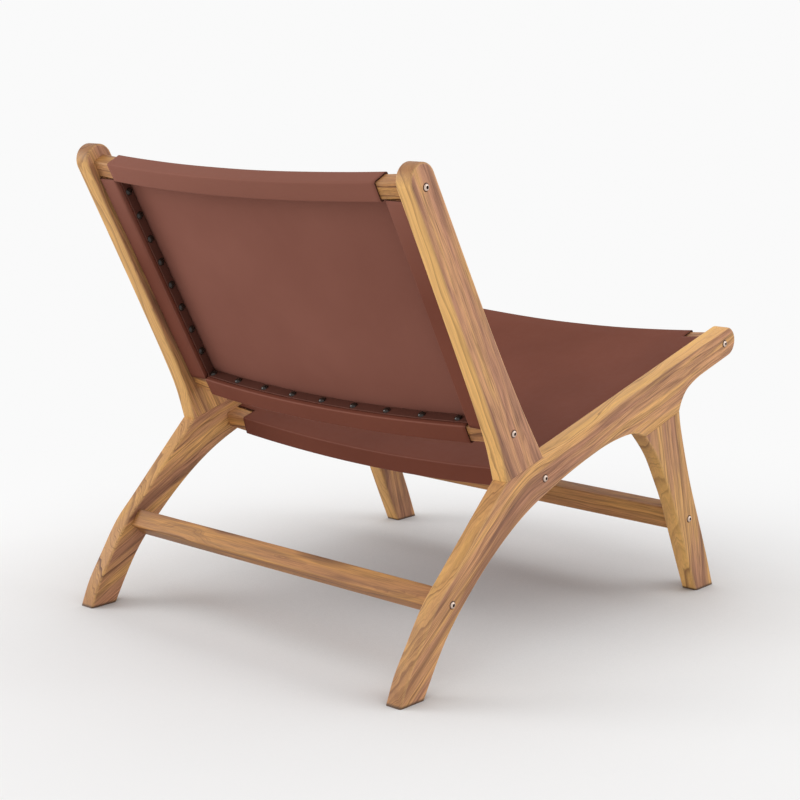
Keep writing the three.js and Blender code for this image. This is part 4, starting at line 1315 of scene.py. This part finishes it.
# %% Screws
head_radius, head_height, shank_radius, shank_length = 0.0046, 0.0034, 0.003, 0.0431
dome_rises, rim_share, rim_inset, screw_sides = np.radians(np.linspace(0, 60, 9)), 0.42, 0.985, 48
socket_flat, socket_floor, socket_drop, socket_scales = 0.0021, 0.0012, 0.08, np.array([1.08, 1.0, 0.97])
washer_radius, washer_height = 0.0055, 0.0007


def screw_profile():
    """Radius and height along the axis: shank, a thin washer in the counterbore, rim, and a dome that ends
    round the socket. Gives also how many rings lie below the head."""
    rim = head_height * rim_share
    dome_radius = head_radius * np.cos(dome_rises)
    dome_height = rim + (head_height - rim) * np.sin(dome_rises) / np.sin(dome_rises[-1])
    below_head = [shank_radius, shank_radius, washer_radius, washer_radius]
    radius = np.r_[below_head, head_radius * rim_inset, dome_radius]
    height = np.r_[-shank_length, 0.0, 0.0, washer_height, washer_height, dome_height]
    return radius, height, len(below_head)


def make_screw(place, side_name, side):
    """The profile turned about the axis, then three rings whose radius follows a hexagon's sides. The washer
    and the socket are blackened: painted shadow in the counterbore round the head and down in the socket."""
    cad_node = f"bolt_{place}_{side_name}"
    turn = np.linspace(0, 2 * np.pi, screw_sides, endpoint=False)
    radius, height, washer_end = screw_profile()
    hexagon = socket_flat / np.cos((turn + np.pi / 6) % (np.pi / 3) - np.pi / 6)
    socket_heights = np.array([head_height, head_height - socket_drop * head_height, socket_floor])
    all_radius = np.vstack([np.repeat(radius[:, None], screw_sides, 1), socket_scales[:, None] * hexagon])
    all_height = np.concatenate([height, socket_heights])
    middle = middle_of(cad_node)
    under_head = chair_width / 2 - seat_depth + joint_gap
    rings = np.stack([
        np.broadcast_to(side * (under_head + all_height)[:, None], all_radius.shape),
        middle.y + all_radius * np.cos(turn), middle.z + all_radius * np.sin(turn)], -1)
    points, faces = capped_tube(rings)
    piece = make_piece(f"screw_{place}_{side_name}", points, outward(points, faces), steel, "steel",
                       [cad_node])
    piece.data.materials.append(socket_shadow)
    ring_of_face = np.r_[np.repeat(np.arange(len(rings) - 1), screw_sides), 0, len(rings)]
    # Painted shadow: the washer in the counterbore and the socket's walls and floor are near-black.
    painted_shadow_faces = (ring_of_face < washer_end) | (ring_of_face >= len(rings) - 2)
    piece.data.polygons.foreach_set("material_index", painted_shadow_faces.astype(np.int32))
    return piece


places = ["back_top", "back_bottom", "seat_rear", "seat_front", "rear_stretcher", "front_stretcher"]
screws = [make_screw(place, side_name, side) for place in places for side_name, side in sides.items()]
print(len(screws), "screws of", len(screws[0].data.polygons), "faces")

# %% [markdown]
# ## Pieces that stay as they were drawn
# The side bars are wrapped all round, and the dowels and inserts lie inside the wood. Their drawn shapes are
# right, so they keep them and only get their finishes. The side bars are teak like the rest.

# %% Finishes of the inner pieces
stile_pith = (0.2, 0.08, 0.06)


def finish_node(cad_node, material):
    """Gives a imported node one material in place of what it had."""
    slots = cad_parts[cad_node].data.materials
    slots.clear()
    slots.append(material)


for cad_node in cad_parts:
    if "dowel" in cad_node:
        finish_node(cad_node, beech)
    elif cad_node.startswith("insert"):
        finish_node(cad_node, brass)
    elif "stile" in cad_node:
        local = back_frame if cad_node.startswith("back") else seat_frame
        wood = make_teak(f"teak_{cad_node}", local.axes[1], middle_of(cad_node), stile_pith)
        finish_node(cad_node, wood)
print("materials in all:", len(bpy.data.materials))
